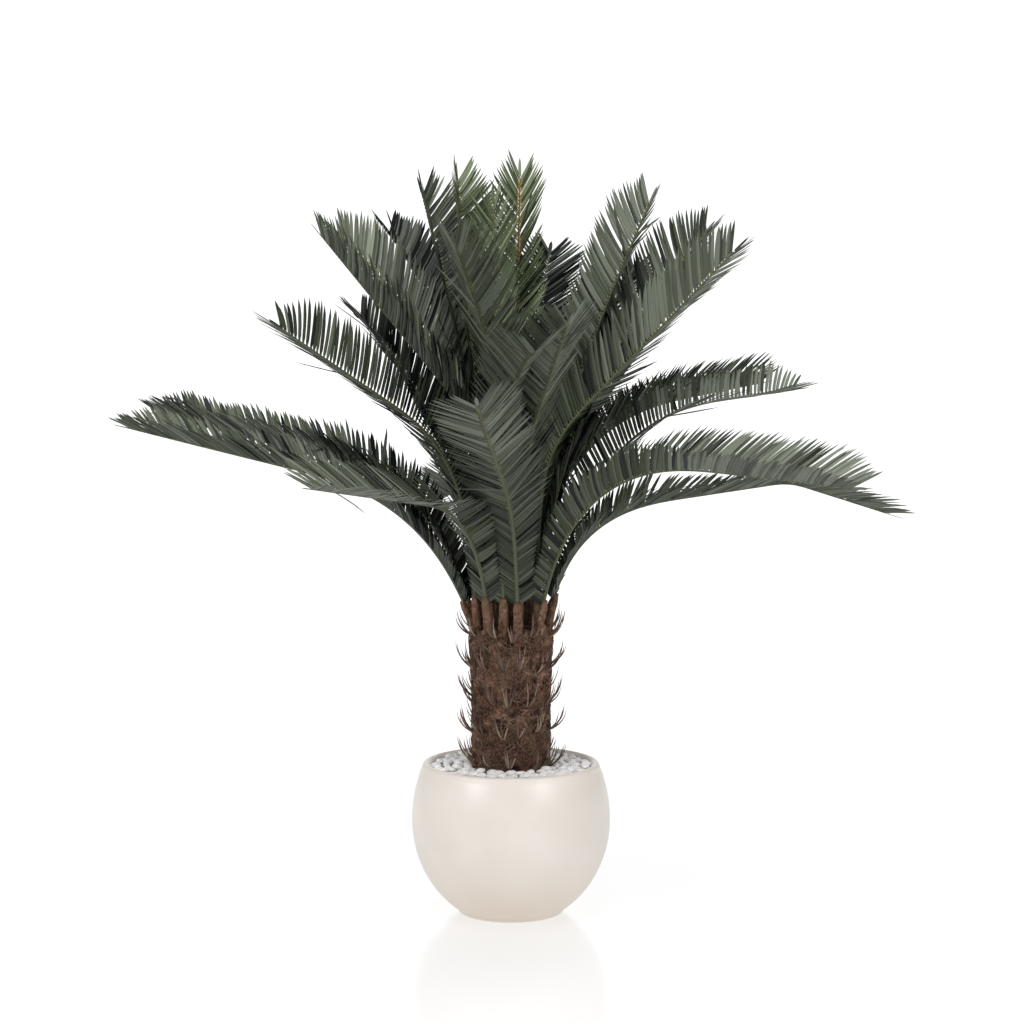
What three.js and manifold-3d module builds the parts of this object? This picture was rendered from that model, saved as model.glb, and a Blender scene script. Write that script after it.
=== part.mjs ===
// Artificial sago palm in a round bowl pot, in millimetres, +Z up.
// The origin is the centre of the pot's flat underside.
// A coir-wrapped trunk stands on the filling of the pot, between white pebbles, and carries three
// rings of fronds. Each frond is a thin blade, cut in to its rib between the teeth that stand for
// its leaflets. A frond that arches is made in two lengths, which meet at its bend.
import * as THREE from "three";
import { mergeVertices } from "three/addons/utils/BufferGeometryUtils.js";
import Module from "manifold-3d";

const wasm = await Module();
wasm.setup();

// ---------------------------------------------------------------- driving dimensions

const GAP = 0.3; // clearance between pieces that touch

const POT = {
  height: 240,
  footRadius: 75,
  bellyRadius: 157,
  bellyHeight: 149,
  lowerCurve: 169.5, // vertical half axis of the outside below the belly
  upperCurve: 190, // and above it
  footBevel: 8, // height of the bevel round the foot
  wall: 14,
  floor: 16,
  innerBevel: { width: 10, height: 8 }, // between the floor and the wall inside
  sides: 36,
};

const FILLING_TOP = 212;

const PEBBLES = {
  bedTop: 222,
  rimGap: 2, // between the bed and the pot's wall
  length: 27,
  width: 0.86, // share of the length
  thickness: 0.72, // share of the length
  rings: [
    { radius: 80, count: 17, height: 225 },
    { radius: 108, count: 23, height: 224 },
  ],
};

const TRUNK = {
  top: 452,
  holeRadius: 65, // of the pebble bed around it
  sides: 24,
  // height above the foot and radius, before it is stretched to fit between filling and top
  outline: [
    [0, 56],
    [14, 60],
    [60, 61.5],
    [140, 61.5],
    [190, 63.5],
    [222, 67],
    [240, 65],
  ],
};

const BRISTLES = {
  perRing: 13,
  firstRing: 240,
  ringStep: 51,
  rings: 5,
  length: 42,
  stand: 22, // how far the point stands out from the bark
  width: 3.4,
  sunk: 5, // depth of the root in the trunk
  knee: { out: 0.7, up: 0.45, width: 0.7 }, // shares of stand, length and width at the knee
};

const FROND = {
  sheath: { length: 42, width: 13, depth: 12 }, // the coir-wrapped foot of the stalk
  shoulder: 8, // length over which the sheath narrows to the stalk
  stalk: { width: 8, depth: 7 },
  leafStart: 56, // distance of the first leaflets from the foot
  ribFoot: { width: 6, depth: 4.4 },
  ribTip: { width: 2, depth: 1.6 },
  spike: 22, // length of the leaflet that ends the rib
  pitch: 31, // between teeth
  tipThickness: 0.8,
  splitBend: 60, // a rib that bows more than this from straight is made in two
};

// Leaflets by share of the frond's length: short at its foot, full from a third of the way up and
// short again at its tip. Lean is the angle to the rib, in degrees.
const LEAFLET = {
  footLength: 34,
  fullLength: 85,
  tipLength: 48,
  grows: { from: 0.13, over: 0.26 },
  shrinks: { from: 0.89, over: 0.11 },
  footLean: 57,
  tipLean: 48,
  closes: { from: 0.9, over: 0.1, by: 14 }, // the last ones turn a little towards the rib
};

// Radius of the ring of seats on the trunk's top.
const RING = { outer: 54, middle: 34, inner: 13 };

// One row for each frond, by ring: name, seat, heading, sweep, rise, level, from, to, fold, roll,
// length, nod. Angles are in degrees, seen from above: 0 is right (+X), 90 is back (+Y). seat: place
// on the ring. heading: the way it leans, and sweep: how far that turns. rise: steepness at the foot,
// and level: at the tip. from, to: the share of the length over which it changes. fold: leaflets up
// from flat. roll: the turn about the rib. nod: a sharp turn down near the tip.
const FRONDS = {
  inner: [
    ["top_centre", 80, 77, 0, 88, 82, 0.2, 1, 50, -9, 712],
    ["top_left", 190, 160, 0, 83, 86, 0.35, 1, 30, 10, 706],
    ["top_right", 0, 19, 0, 79, 65, 0, 1, 35, 62, 706],
    ["top_front", 278, 225, 0, 88, 84, 0.2, 1, 62, -45, 665],
  ],
  middle: [
    ["upright_front_left", 255, 256, 0, 86, 36, 0.25, 0.85, 52, 2, 716],
    ["upright_front_right", 290, 279, 0, 84, 28, 0.12, 0.62, 40, -10, 708],
    ["upright_back", 78, 79, 0, 83, 40, 0.1, 0.95, 24, -10, 695],
    ["upright_back_right", 48, 59, 0, 82, 38, 0, 0.9, 30, -5, 697],
    ["upright_back_left", 138, 142, 0, 85, 72, 0.15, 0.75, 45, 5, 703],
    ["high_left_front", 220, 208, 0, 86, 48, 0.24, 0.64, 30, 24, 706],
    ["high_left_back", 166, 160, 0, 88, 44, 0.12, 0.95, 34, 22, 700],
    ["high_right_front", 340, 348, 0, 86, 46, 0.25, 0.55, 34, 42, 705],
    ["high_right_back", 15, 14, 14, 82, 46, 0, 1, 45, -25, 707],
    ["high_back", 108, 134, 0, 83, 44, 0.22, 0.92, 35, -5, 710],
  ],
  outer: [
    ["mid_left_front", 205, 229, 0, 81, 27, 0.15, 0.65, 39, -21, 693],
    ["mid_left_back", 140, 127, -12, 74, 21, 0, 1, 58, 12, 688],
    ["mid_back", 107, 101, 0, 80, 24, 0, 1, 42, 0, 700],
    ["mid_front", 257, 271, 8, 83, 8, 0, 1, 42, 0, 700],
    ["mid_right_back", 47, 45, 0, 80, 42, 0, 0.7, 45, 0, 697],
    ["mid_right", 22, 39, -8, 68, 5, 0.12, 0.83, 30, -14, 700],
    ["low_left", 180, 180, -10, 67, 13, 0, 0.62, 33, 5, 675],
    ["low_front_left", 232, 245, 0, 78, 8, 0, 0.52, 25, 17, 680],
    ["low_front", 282, 264, 0, 76, 22, 0, 0.5, 24, -14, 700],
    ["low_front_right", 318, 324, -4, 77, -3, 0, 0.7, 44, -12, 708],
    ["low_right", 355, 6, -3, 78, 8, 0, 0.5, 24, 0, 664, -26],
    ["low_back_right", 67, 43, -7, 79, 7, 0, 0.8, 42, 16, 716],
    ["low_back", 87, 88, 0, 80, 5, 0, 0.6, 42, 0, 700],
    ["low_back_left", 124, 100, 0, 77, -10, 0, 0.6, 42, 0, 692],
    ["low_left_back", 160, 160, 0, 71, 12, 0, 0.63, 42, 0, 694],
  ],
};
const NOD = { from: 0.7, over: 0.1 }; // the share of the length over which a frond nods
const ROLL = { from: 0, over: 0.45 }; // and over which it rolls about its rib

// Clearance of a tooth from other fronds, and the shares of its length to which it may be cut.
const CLEARANCE = 0.7;
const TOOTH_SHARES = [1, 0.86, 0.72, 0.58, 0.44, 0.3];

// ---------------------------------------------------------------- finishes

const cream = new THREE.MeshStandardMaterial({ color: 0xe9e1d8, roughness: 0.35 });
const mortar = new THREE.MeshStandardMaterial({ color: 0x8d8a84, roughness: 0.95 });
const whiteStone = new THREE.MeshStandardMaterial({ color: 0xe6e6e6, roughness: 0.6 });
const coir = new THREE.MeshStandardMaterial({ color: 0x4d3b30, roughness: 0.95 });
const leaf = new THREE.MeshStandardMaterial({ color: 0x3f4a3c, roughness: 0.6 });

// ---------------------------------------------------------------- helpers

const radians = THREE.MathUtils.degToRad;

// How much of a gradual change is done at a share of the length.
function change(share, { from, over }) {
  return THREE.MathUtils.smoothstep(share, from, from + over);
}

// A vector from polar coordinates about the Z axis, with the angle in degrees.
function polar(radius, degrees, height) {
  return new THREE.Vector3(
    radius * Math.cos(radians(degrees)),
    radius * Math.sin(radians(degrees)),
    height,
  );
}

// Turns a profile of [radius, height] points, from the axis round to the axis, about Z.
function turned(profile, sides) {
  const points = profile.map(([radius, height]) => new THREE.Vector2(radius, height));
  return new THREE.LatheGeometry(points, sides).rotateX(Math.PI / 2);
}

// A closed geometry as a manifold-3d solid.
function solidOf(geometry) {
  const bare = new THREE.BufferGeometry();
  bare.setAttribute("position", geometry.getAttribute("position"));
  bare.setIndex(geometry.getIndex());
  const merged = mergeVertices(bare, 1e-4);
  return new wasm.Manifold(
    new wasm.Mesh({
      numProp: 3,
      vertProperties: merged.getAttribute("position").array,
      triVerts: new Uint32Array(merged.getIndex().array),
    }),
  );
}

// All the geometries fused to one.
function fused(geometries) {
  const mesh = wasm.Manifold.union(geometries.map(solidOf)).getMesh();
  const geometry = new THREE.BufferGeometry();
  geometry.setAttribute("position", new THREE.BufferAttribute(mesh.vertProperties, 3));
  geometry.setIndex(new THREE.BufferAttribute(mesh.triVerts, 1));
  return geometry;
}

function named(name, geometry, material) {
  const mesh = new THREE.Mesh(geometry, material);
  mesh.name = name;
  return mesh;
}

// ---------------------------------------------------------------- pot, filling and pebbles

// Outside radius of the bowl: an ellipse on each side of the belly.
function bowlRadius(height) {
  const rise = height - POT.bellyHeight;
  const halfAxis = rise < 0 ? POT.lowerCurve : POT.upperCurve;
  return POT.bellyRadius * Math.sqrt(1 - (rise / halfAxis) ** 2);
}

// Points of the bowl's wall at even heights, moved in by an inset.
function bowlWall(bottom, top, steps, inset) {
  return Array.from({ length: steps + 1 }, (_, i) => {
    const height = bottom + ((top - bottom) * i) / steps;
    return [bowlRadius(height) - inset, height];
  });
}

// The inside of the bowl from the middle of its floor to the top of the filling, moved in by a gap.
function innerWall(gap) {
  const { width, height } = POT.innerBevel;
  const wall = bowlWall(POT.floor + height, FILLING_TOP, 5, POT.wall + gap);
  const floorRadius = wall[0][0] - width;
  return [[0, POT.floor + gap], [floorRadius, POT.floor + gap], ...wall];
}

// The bowl. Its lip is half a circle as wide as the wall.
function pot() {
  const lip = POT.wall / 2;
  const lipHeight = POT.height - lip;
  const lipRadius = bowlRadius(lipHeight) - lip;
  const foot = [[0, 0], [POT.footRadius, 0]];
  const outside = bowlWall(POT.footBevel, lipHeight, 9, 0);
  const crest = [50, 90, 130].map((angle) => [
    lipRadius + lip * Math.cos(radians(angle)),
    lipHeight + lip * Math.sin(radians(angle)),
  ]);
  const throat = [lipRadius - lip, lipHeight];
  const inside = innerWall(0).reverse();
  return turned([...foot, ...outside, ...crest, throat, ...inside], POT.sides);
}

function filling() {
  return turned([...innerWall(GAP), [0, FILLING_TOP]], POT.sides);
}

// A bed that rings the trunk, with rings of stones standing out of it. No two neighbours have the
// same size or lie the same way.
function pebbles() {
  const bottom = FILLING_TOP + GAP;
  const top = PEBBLES.bedTop;
  const rim = bowlRadius(top) - POT.wall - PEBBLES.rimGap;
  const hole = TRUNK.holeRadius;
  const bed = turned([[hole, bottom], [rim, bottom], [rim, top], [hole, top], [hole, bottom]], POT.sides);
  const stones = PEBBLES.rings.flatMap(({ radius, count, height }, ring) =>
    Array.from({ length: count }, (_, i) => {
      const place = polar(radius, ((i + 0.4 * ring) * 360) / count, height);
      const size = (PEBBLES.length / 2) * (0.86 + 0.14 * Math.sin(2.4 * i + ring));
      return new THREE.IcosahedronGeometry(size, 0)
        .rotateX(1.3 * i)
        .rotateZ(0.9 * i)
        .scale(1, PEBBLES.width, PEBBLES.thickness)
        .rotateZ(2.1 * i)
        .translate(place.x, place.y, place.z);
    }),
  );
  return fused([bed, ...stones]);
}

// ---------------------------------------------------------------- trunk

const TRUNK_FOOT = FILLING_TOP + GAP;
const trunkStretch = (TRUNK.top - TRUNK_FOOT) / TRUNK.outline.at(-1)[0];
const trunkProfile = TRUNK.outline.map(([height, radius]) => [
  radius,
  TRUNK_FOOT + height * trunkStretch,
]);

function trunkRadius(height) {
  const above = trunkProfile.findIndex((point) => point[1] >= height);
  const [low, high] = [trunkProfile[above - 1], trunkProfile[above]];
  return THREE.MathUtils.mapLinear(height, low[1], high[1], low[0], high[0]);
}

// The three corners of a bristle about a centre: its keel, below and outside, and two upper edges.
function bristleCorners(centre, degrees, width) {
  const out = polar(1, degrees, 0);
  const across = polar(1, degrees + 90, 0);
  return [
    centre.clone().addScaledVector(out, 0.3 * width).add(new THREE.Vector3(0, 0, -0.7 * width)),
    centre.clone().addScaledVector(out, -0.25 * width).addScaledVector(across, width / 2),
    centre.clone().addScaledVector(out, -0.25 * width).addScaledVector(across, -width / 2),
  ];
}

// A three-sided bristle that leaves the bark, bends at its knee and runs up to a point.
function bristle(degrees, height) {
  const { knee, length, stand, sunk, width } = BRISTLES;
  const bark = trunkRadius(height);
  const root = polar(bark - sunk, degrees, height);
  const middle = polar(bark + stand * knee.out, degrees, height + length * knee.up);
  const point = polar(bark + stand, degrees, height + length);
  const corners = [
    ...bristleCorners(root, degrees, width),
    ...bristleCorners(middle, degrees, width * knee.width),
    point,
  ];
  const faces = [[0, 2, 1]];
  for (const [a, b] of [[0, 1], [1, 2], [2, 0]]) {
    faces.push([a, b, b + 3], [a, b + 3, a + 3], [a + 3, b + 3, 6]);
  }
  const geometry = new THREE.BufferGeometry().setFromPoints(corners);
  geometry.setIndex(faces.flat());
  return geometry;
}

// The trunk with its bristles. Those of every second ring stand between their neighbours', and
// each is up to 5 degrees out of line.
function trunk() {
  const core = turned([[0, TRUNK_FOOT], ...trunkProfile, [0, TRUNK.top]], TRUNK.sides);
  const bristles = [];
  for (let ring = 0; ring < BRISTLES.rings; ring++) {
    const height = BRISTLES.firstRing + ring * BRISTLES.ringStep;
    for (let i = 0; i < BRISTLES.perRing; i++) {
      const even = ((i + (ring % 2) / 2) * 360) / BRISTLES.perRing;
      bristles.push(bristle(even + 5 * Math.sin(3 * i + ring), height));
    }
  }
  return fused([core, ...bristles]);
}

// ---------------------------------------------------------------- the rib of a frond

// Unit vectors of a frond at a share of its length: along the rib, up from its face, and left.
function frame(frond, share) {
  const bend = change(share, { from: frond.from, over: frond.to - frond.from });
  const steepness = frond.rise + (frond.level - frond.rise) * bend + frond.nod * change(share, NOD);
  const climb = radians(steepness);
  const heading = radians(frond.heading + frond.sweep * share);
  const along = new THREE.Vector3(
    Math.cos(climb) * Math.cos(heading),
    Math.cos(climb) * Math.sin(heading),
    Math.sin(climb),
  );
  const up = new THREE.Vector3(
    -Math.sin(climb) * Math.cos(heading),
    -Math.sin(climb) * Math.sin(heading),
    Math.cos(climb),
  );
  up.applyAxisAngle(along, -radians(frond.roll) * change(share, ROLL));
  const left = up.clone().cross(along);
  return { along, up, left };
}

// The rib's centre line: its directions summed from the seat in steps of about 4 mm.
function ribPoints(frond) {
  const point = polar(RING[frond.ring], frond.seat, TRUNK.top + GAP);
  const points = [point.clone()];
  const steps = Math.round(frond.length / 4);
  for (let i = 0; i < steps; i++) {
    point.addScaledVector(frame(frond, (i + 0.5) / steps).along, frond.length / steps);
    points.push(point.clone());
  }
  return points;
}

// Width and depth of the stalk and rib at a distance from the foot.
function ribSection(frond, distance) {
  if (distance <= FROND.sheath.length) return FROND.sheath;
  if (distance < FROND.leafStart - 1) return FROND.stalk;
  const share = (distance - FROND.leafStart) / (frond.length - FROND.leafStart);
  return {
    width: THREE.MathUtils.lerp(FROND.ribFoot.width, FROND.ribTip.width, share),
    depth: THREE.MathUtils.lerp(FROND.ribFoot.depth, FROND.ribTip.depth, share),
  };
}

// A cross-section of the rib at a distance from the foot: its upper and lower corner on each side
// and the frond's vectors there. The one at the foot is level, to stand flat on the trunk.
function station(frond, points, distance) {
  const share = distance / frond.length;
  const place = share * (points.length - 1);
  const below = Math.min(Math.floor(place), points.length - 2);
  const centre = points[below].clone().lerp(points[below + 1], place - below);
  const axes = frame(frond, share);
  if (distance === 0) {
    axes.along.set(0, 0, 1);
    axes.up = polar(-1, frond.heading, 0);
    axes.left = axes.up.clone().cross(axes.along);
  }
  const { width, depth } = ribSection(frond, distance);
  const corner = (side, drop) =>
    centre.clone().addScaledVector(axes.left, (side * width) / 2).addScaledVector(axes.up, -drop);
  const corners = {
    left: [corner(1, 0), corner(1, depth)],
    right: [corner(-1, 0), corner(-1, depth)],
  };
  return { ...axes, centre, share, corners };
}

function frondStations(frond) {
  const points = ribPoints(frond);
  const leafy = frond.length - FROND.leafStart;
  const teeth = Math.round(leafy / FROND.pitch);
  const distances = [0, FROND.sheath.length, FROND.sheath.length + FROND.shoulder];
  for (let i = 0; i <= teeth; i++) distances.push(FROND.leafStart + (i * leafy) / teeth);
  return distances.map((distance) => station(frond, points, distance));
}

// ---------------------------------------------------------------- its teeth

function leafletLength(share) {
  const { footLength, fullLength, tipLength, grows, shrinks } = LEAFLET;
  const grown = (fullLength - footLength) * change(share, grows);
  const shrunk = (fullLength - tipLength) * change(share, shrinks);
  return footLength + grown - shrunk;
}

// Angle between a leaflet and the rib, in radians.
function leafletLean(share) {
  const { footLean, tipLean, closes } = LEAFLET;
  return radians(THREE.MathUtils.lerp(footLean, tipLean, share) - closes.by * change(share, closes));
}

// The tip of the tooth between two stations on one side, as its upper and lower point.
function toothTip(frond, a, b, side, scale, thickness) {
  const share = (a.share + b.share) / 2;
  const lean = leafletLean(share);
  const fold = radians(frond.fold);
  const out = a.left.clone().multiplyScalar(side * Math.cos(fold)).addScaledVector(a.up, Math.sin(fold));
  const way = a.along.clone().multiplyScalar(Math.cos(lean)).addScaledVector(out, Math.sin(lean));
  const face = a.along.clone().cross(way).multiplyScalar(side).normalize();
  const tip = a.centre.clone().lerp(b.centre, 0.5).addScaledVector(way, leafletLength(share) * scale);
  return [
    tip.clone().addScaledVector(face, thickness / 2),
    tip.clone().addScaledVector(face, -thickness / 2),
  ];
}

// ---------------------------------------------------------------- triangles of a frond
// Names of corners: a or b for the station, l or r for the side, t or b for top or bottom.

// The top and underside of the rib between two stations.
function ribFaces(a, b) {
  const [alt, alb] = a.corners.left;
  const [art, arb] = a.corners.right;
  const [blt, blb] = b.corners.left;
  const [brt, brb] = b.corners.right;
  return [
    [art, brt, blt],
    [art, blt, alt],
    [alb, blb, brb],
    [alb, brb, arb],
  ];
}

// One side of the rib between two stations: a tooth, or a plain wall where there is no tip.
function sideFaces(a, b, side, tip) {
  const [at, ab] = side > 0 ? a.corners.left : a.corners.right;
  const [bt, bb] = side > 0 ? b.corners.left : b.corners.right;
  const wall = [
    [at, bt, bb],
    [at, bb, ab],
  ];
  const tooth = tip && [
    [at, bt, tip[0]],
    [bb, ab, tip[1]],
    [at, tip[0], tip[1]],
    [at, tip[1], ab],
    [bt, bb, tip[1]],
    [bt, tip[1], tip[0]],
  ];
  const faces = tooth ?? wall;
  return side > 0 ? faces : faces.map((face) => face.toReversed());
}

// A flat end, which faces back along the rib or forward.
function endFaces({ corners }, forward) {
  const [lt, lb] = corners.left;
  const [rt, rb] = corners.right;
  const faces = [
    [lt, lb, rb],
    [lt, rb, rt],
  ];
  return forward ? faces.map((face) => face.toReversed()) : faces;
}

// The spike in which a rib ends.
function spikeFaces({ centre, along, corners }) {
  const [lt, lb] = corners.left;
  const [rt, rb] = corners.right;
  const point = centre.clone().addScaledVector(along, FROND.spike);
  return [
    [rt, point, lt],
    [lt, point, lb],
    [lb, point, rb],
    [rb, point, rt],
  ];
}

// ---------------------------------------------------------------- keeping teeth off other fronds

// Triangles of the fronds, found by the boxes of space that they pass through.
class Occupied {
  size = 40;
  boxes = new Map();

  keysOf(triangle) {
    const { min, max } = new THREE.Box3().setFromPoints(triangle);
    const span = (low, high) => {
      const first = Math.floor(low / this.size);
      const count = Math.floor(high / this.size) - first + 1;
      return Array.from({ length: count }, (_, i) => first + i);
    };
    return span(min.x, max.x).flatMap((x) =>
      span(min.y, max.y).flatMap((y) => span(min.z, max.z).map((z) => `${x},${y},${z}`)),
    );
  }

  add(owner, triangles) {
    for (const triangle of triangles) {
      const entry = { owner, triangle, extent: new THREE.Box3().setFromPoints(triangle) };
      for (const key of this.keysOf(triangle)) {
        if (!this.boxes.has(key)) this.boxes.set(key, []);
        this.boxes.get(key).push(entry);
      }
    }
  }

  meets(owner, triangles) {
    return triangles.some((triangle) => {
      const extent = new THREE.Box3().setFromPoints(triangle);
      return this.keysOf(triangle).some((key) =>
        (this.boxes.get(key) ?? []).some(
          (entry) =>
            entry.owner !== owner &&
            entry.extent.intersectsBox(extent) &&
            crosses(triangle, entry.triangle),
        ),
      );
    });
  }
}

// Whether an edge of either triangle passes through the other.
function crosses(one, other) {
  const ray = new THREE.Ray();
  const hit = new THREE.Vector3();
  const pierces = (a, b) =>
    [0, 1, 2].some((i) => {
      const start = a[i];
      const end = a[(i + 1) % 3];
      ray.origin.copy(start);
      ray.direction.subVectors(end, start).normalize();
      const found = ray.intersectTriangle(b[0], b[1], b[2], false, hit);
      return found !== null && hit.distanceTo(start) <= end.distanceTo(start);
    });
  return pierces(one, other) || pierces(other, one);
}

// A station whose section is wider all round by the clearance.
function swollen(place) {
  const grow = (side, rise) => (point) =>
    point
      .clone()
      .addScaledVector(place.left, side * CLEARANCE)
      .addScaledVector(place.up, rise * CLEARANCE);
  const [lt, lb] = place.corners.left;
  const [rt, rb] = place.corners.right;
  const corners = {
    left: [grow(1, 1)(lt), grow(1, -1)(lb)],
    right: [grow(-1, 1)(rt), grow(-1, -1)(rb)],
  };
  return { ...place, corners };
}

// Picks the longest share of each tooth that stays clear of all other fronds.
function fitTeeth(plans) {
  const occupied = new Occupied();
  for (const { frond, stations } of plans) {
    stations.slice(1).forEach((b, i) => {
      const wide = [stations[i], b].map(swollen);
      const walls = [...sideFaces(...wide, 1, null), ...sideFaces(...wide, -1, null)];
      occupied.add(frond.name, [...ribFaces(...wide), ...walls]);
    });
  }
  for (const plan of plans) {
    const { frond, stations } = plan;
    plan.tips = stations.slice(1).map((b, i) => {
      const a = stations[i];
      if (a.share * frond.length < FROND.leafStart - 1) return { left: null, right: null };
      const wide = [a, b].map(swollen);
      const fit = (side) => {
        for (const share of TOOTH_SHARES) {
          const room = toothTip(frond, a, b, side, share + 0.03, 2 * CLEARANCE + FROND.tipThickness);
          const faces = sideFaces(...wide, side, room);
          if (!occupied.meets(frond.name, faces)) {
            occupied.add(frond.name, faces);
            return toothTip(frond, a, b, side, share, FROND.tipThickness);
          }
        }
        return null;
      };
      return { left: fit(1), right: fit(-1) };
    });
  }
}

// ---------------------------------------------------------------- frond solids

// The station where the rib bows furthest from the line between its ends, if it bows enough.
function bendStation(stations) {
  const chord = new THREE.Line3(stations[0].centre, stations.at(-1).centre);
  const bows = stations.map(({ centre }) =>
    chord.closestPointToPoint(centre, true, new THREE.Vector3()).distanceTo(centre),
  );
  const most = Math.max(...bows);
  return most > FROND.splitBend ? bows.indexOf(most) : null;
}

function frondGeometry(stations, tips) {
  const last = stations.at(-1);
  const faces = endFaces(stations[0], false);
  faces.push(...(last.share < 1 ? endFaces(last, true) : spikeFaces(last)));
  stations.slice(1).forEach((b, i) => {
    faces.push(
      ...ribFaces(stations[i], b),
      ...sideFaces(stations[i], b, 1, tips[i].left),
      ...sideFaces(stations[i], b, -1, tips[i].right),
    );
  });
  return new THREE.BufferGeometry().setFromPoints(faces.flat());
}

// A copy of a station moved along the rib by the gap between two lengths.
function pastGap(place) {
  const move = (point) => point.clone().addScaledVector(place.along, GAP);
  const corners = { left: place.corners.left.map(move), right: place.corners.right.map(move) };
  return { ...place, corners };
}

function frondMeshes({ frond, stations, tips }) {
  const name = "frond_" + frond.name;
  const bend = bendStation(stations);
  if (bend === null) return [named(name, frondGeometry(stations, tips), leaf)];
  const inner = frondGeometry(stations.slice(0, bend + 1), tips.slice(0, bend));
  const outerStations = [pastGap(stations[bend]), ...stations.slice(bend + 1)];
  const outer = frondGeometry(outerStations, tips.slice(bend));
  return [named(name + "_foot", inner, leaf), named(name + "_tip", outer, leaf)];
}

// ---------------------------------------------------------------- the plant

const fronds = Object.entries(FRONDS).flatMap(([ring, rows]) =>
  rows.map(([name, seat, heading, sweep, rise, level, from, to, fold, roll, length, nod = 0]) => {
    return { ring, name, seat, heading, sweep, rise, level, from, to, fold, roll, length, nod };
  }),
);
const plans = fronds.map((frond) => ({ frond, stations: frondStations(frond) }));
fitTeeth(plans);

const sagoPalm = new THREE.Group();
sagoPalm.add(
  named("pot", pot(), cream),
  named("pot_filling", filling(), mortar),
  named("pebbles", pebbles(), whiteStone),
  named("trunk", trunk(), coir),
  ...plans.flatMap(frondMeshes),
);

export default sagoPalm;
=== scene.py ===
# %% [markdown]
# # Artificial sago palm in a bowl pot
#
# The plant stands about 1.2 m high. Its parts are a cream bowl pot, a bed of white pebbles, a trunk
# wrapped in coir, twenty-nine fronds and the thousands of leaflets on them. The solid model of
# the plant is loaded first and never changes. The pieces made below take the place of its solids,
# stand where those stand, and add the detail that plain solids leave out. Only the filling of the
# pot keeps its solid. All lengths are in metres, and +Z is up.

# %% The solid model
import math

import bpy
import numpy as np
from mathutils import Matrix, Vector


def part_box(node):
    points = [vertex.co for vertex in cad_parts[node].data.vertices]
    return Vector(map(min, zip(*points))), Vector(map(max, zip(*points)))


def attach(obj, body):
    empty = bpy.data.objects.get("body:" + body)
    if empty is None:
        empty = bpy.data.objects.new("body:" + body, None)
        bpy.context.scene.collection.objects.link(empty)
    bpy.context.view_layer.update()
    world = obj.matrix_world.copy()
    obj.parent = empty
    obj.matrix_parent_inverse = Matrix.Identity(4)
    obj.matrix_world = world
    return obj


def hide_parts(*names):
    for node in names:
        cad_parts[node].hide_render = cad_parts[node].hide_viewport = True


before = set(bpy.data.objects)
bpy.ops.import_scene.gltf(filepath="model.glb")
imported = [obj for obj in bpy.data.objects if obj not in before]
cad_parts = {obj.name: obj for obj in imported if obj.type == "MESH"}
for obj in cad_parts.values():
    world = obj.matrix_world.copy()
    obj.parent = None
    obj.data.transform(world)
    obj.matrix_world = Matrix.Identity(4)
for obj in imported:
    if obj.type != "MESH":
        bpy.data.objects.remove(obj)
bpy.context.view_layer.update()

MM = 0.001

# %% [markdown]
# ## Surfaces from grids
#
# Every shape here is a grid of points: a profile carried along a path, or a section turned about
# the trunk. Working out the whole grid at once with numpy keeps the formula in sight and is fast
# enough for thousands of leaflets. Three helpers turn such grids into closed surfaces. A tube needs
# a wall and two ends, and a turned shape needs a pole at each end.

# %% Helpers for grids
def smooth(share):
    """Goes from 0 to 1 over shares 0 to 1, level at both ends: 3 s squared minus 2 s cubed."""
    s = np.clip(share, 0, 1)
    return s * s * (3 - 2 * s)


def unit(vectors):
    """Each vector divided by its own length."""
    return vectors / np.linalg.norm(vectors, axis=-1, keepdims=True)


def tube_faces(tubes, stations, sides):
    """Quads of many like tubes. Point (tube, station, side) has number (tube * stations + station)
    * sides + side, and each quad joins two neighbouring stations at two neighbouring sides."""
    tube, station, side = np.meshgrid(
        np.arange(tubes), np.arange(stations - 1), np.arange(sides), indexing="ij"
    )
    first = (tube * stations + station) * sides
    after = (side + 1) % sides
    corners = [first + side, first + after, first + sides + after, first + sides + side]
    return np.stack([c.ravel() for c in corners], axis=1)


def tube_ends(tubes, stations, sides):
    """The polygons that close both ends of those tubes, wound to face outwards."""
    start = (np.arange(tubes) * stations * sides)[:, None]
    ring = np.arange(sides)[None, :]
    near = start + ring[:, ::-1]
    far = start + (stations - 1) * sides + ring
    return np.concatenate([near, far])


def add_piece(name, points, face_groups, material, rounded=True):
    """A mesh object from an array of points and one or more arrays of faces, riding on the plant."""
    mesh = bpy.data.meshes.new(name)
    faces = [face for group in face_groups for face in group.tolist()]
    mesh.from_pydata(points.reshape(-1, 3).tolist(), [], faces)
    mesh.polygons.foreach_set("use_smooth", np.full(len(faces), rounded))
    mesh.materials.append(material)
    mesh.update()
    piece = bpy.data.objects.new(name, mesh)
    bpy.context.scene.collection.objects.link(piece)
    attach(piece, "root")
    triangles = sum(len(group) * (group.shape[1] - 2) for group in face_groups)
    print(name, "has", triangles, "triangles")
    return piece


# %% [markdown]
# ## Materials from noise
#
# Real surfaces are never one flat colour. A small set of helpers builds each finish from noise that
# reads the object's own coordinates, so that it stays in place and needs no unwrapping. The values
# that are the same all over a surface are set straight on the shader.

# %% Helpers for shaders
COAT_ROUGHNESS = 0.34  # a sprayed coat is a little uneven, which widens its highlights


def new_finish(name, colour, roughness, specular=0.5, coat=0.0):
    """A material with one principled shader: its plain colour, roughness, specular level and coat."""
    material = bpy.data.materials.new(name)
    material.use_nodes = True
    shader = material.node_tree.nodes["Principled BSDF"]
    shader.inputs["Base Color"].default_value = (*colour, 1)
    shader.inputs["Roughness"].default_value = roughness
    shader.inputs["Specular IOR Level"].default_value = specular
    shader.inputs["Coat Weight"].default_value = coat
    shader.inputs["Coat Roughness"].default_value = COAT_ROUGHNESS
    return material


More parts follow.
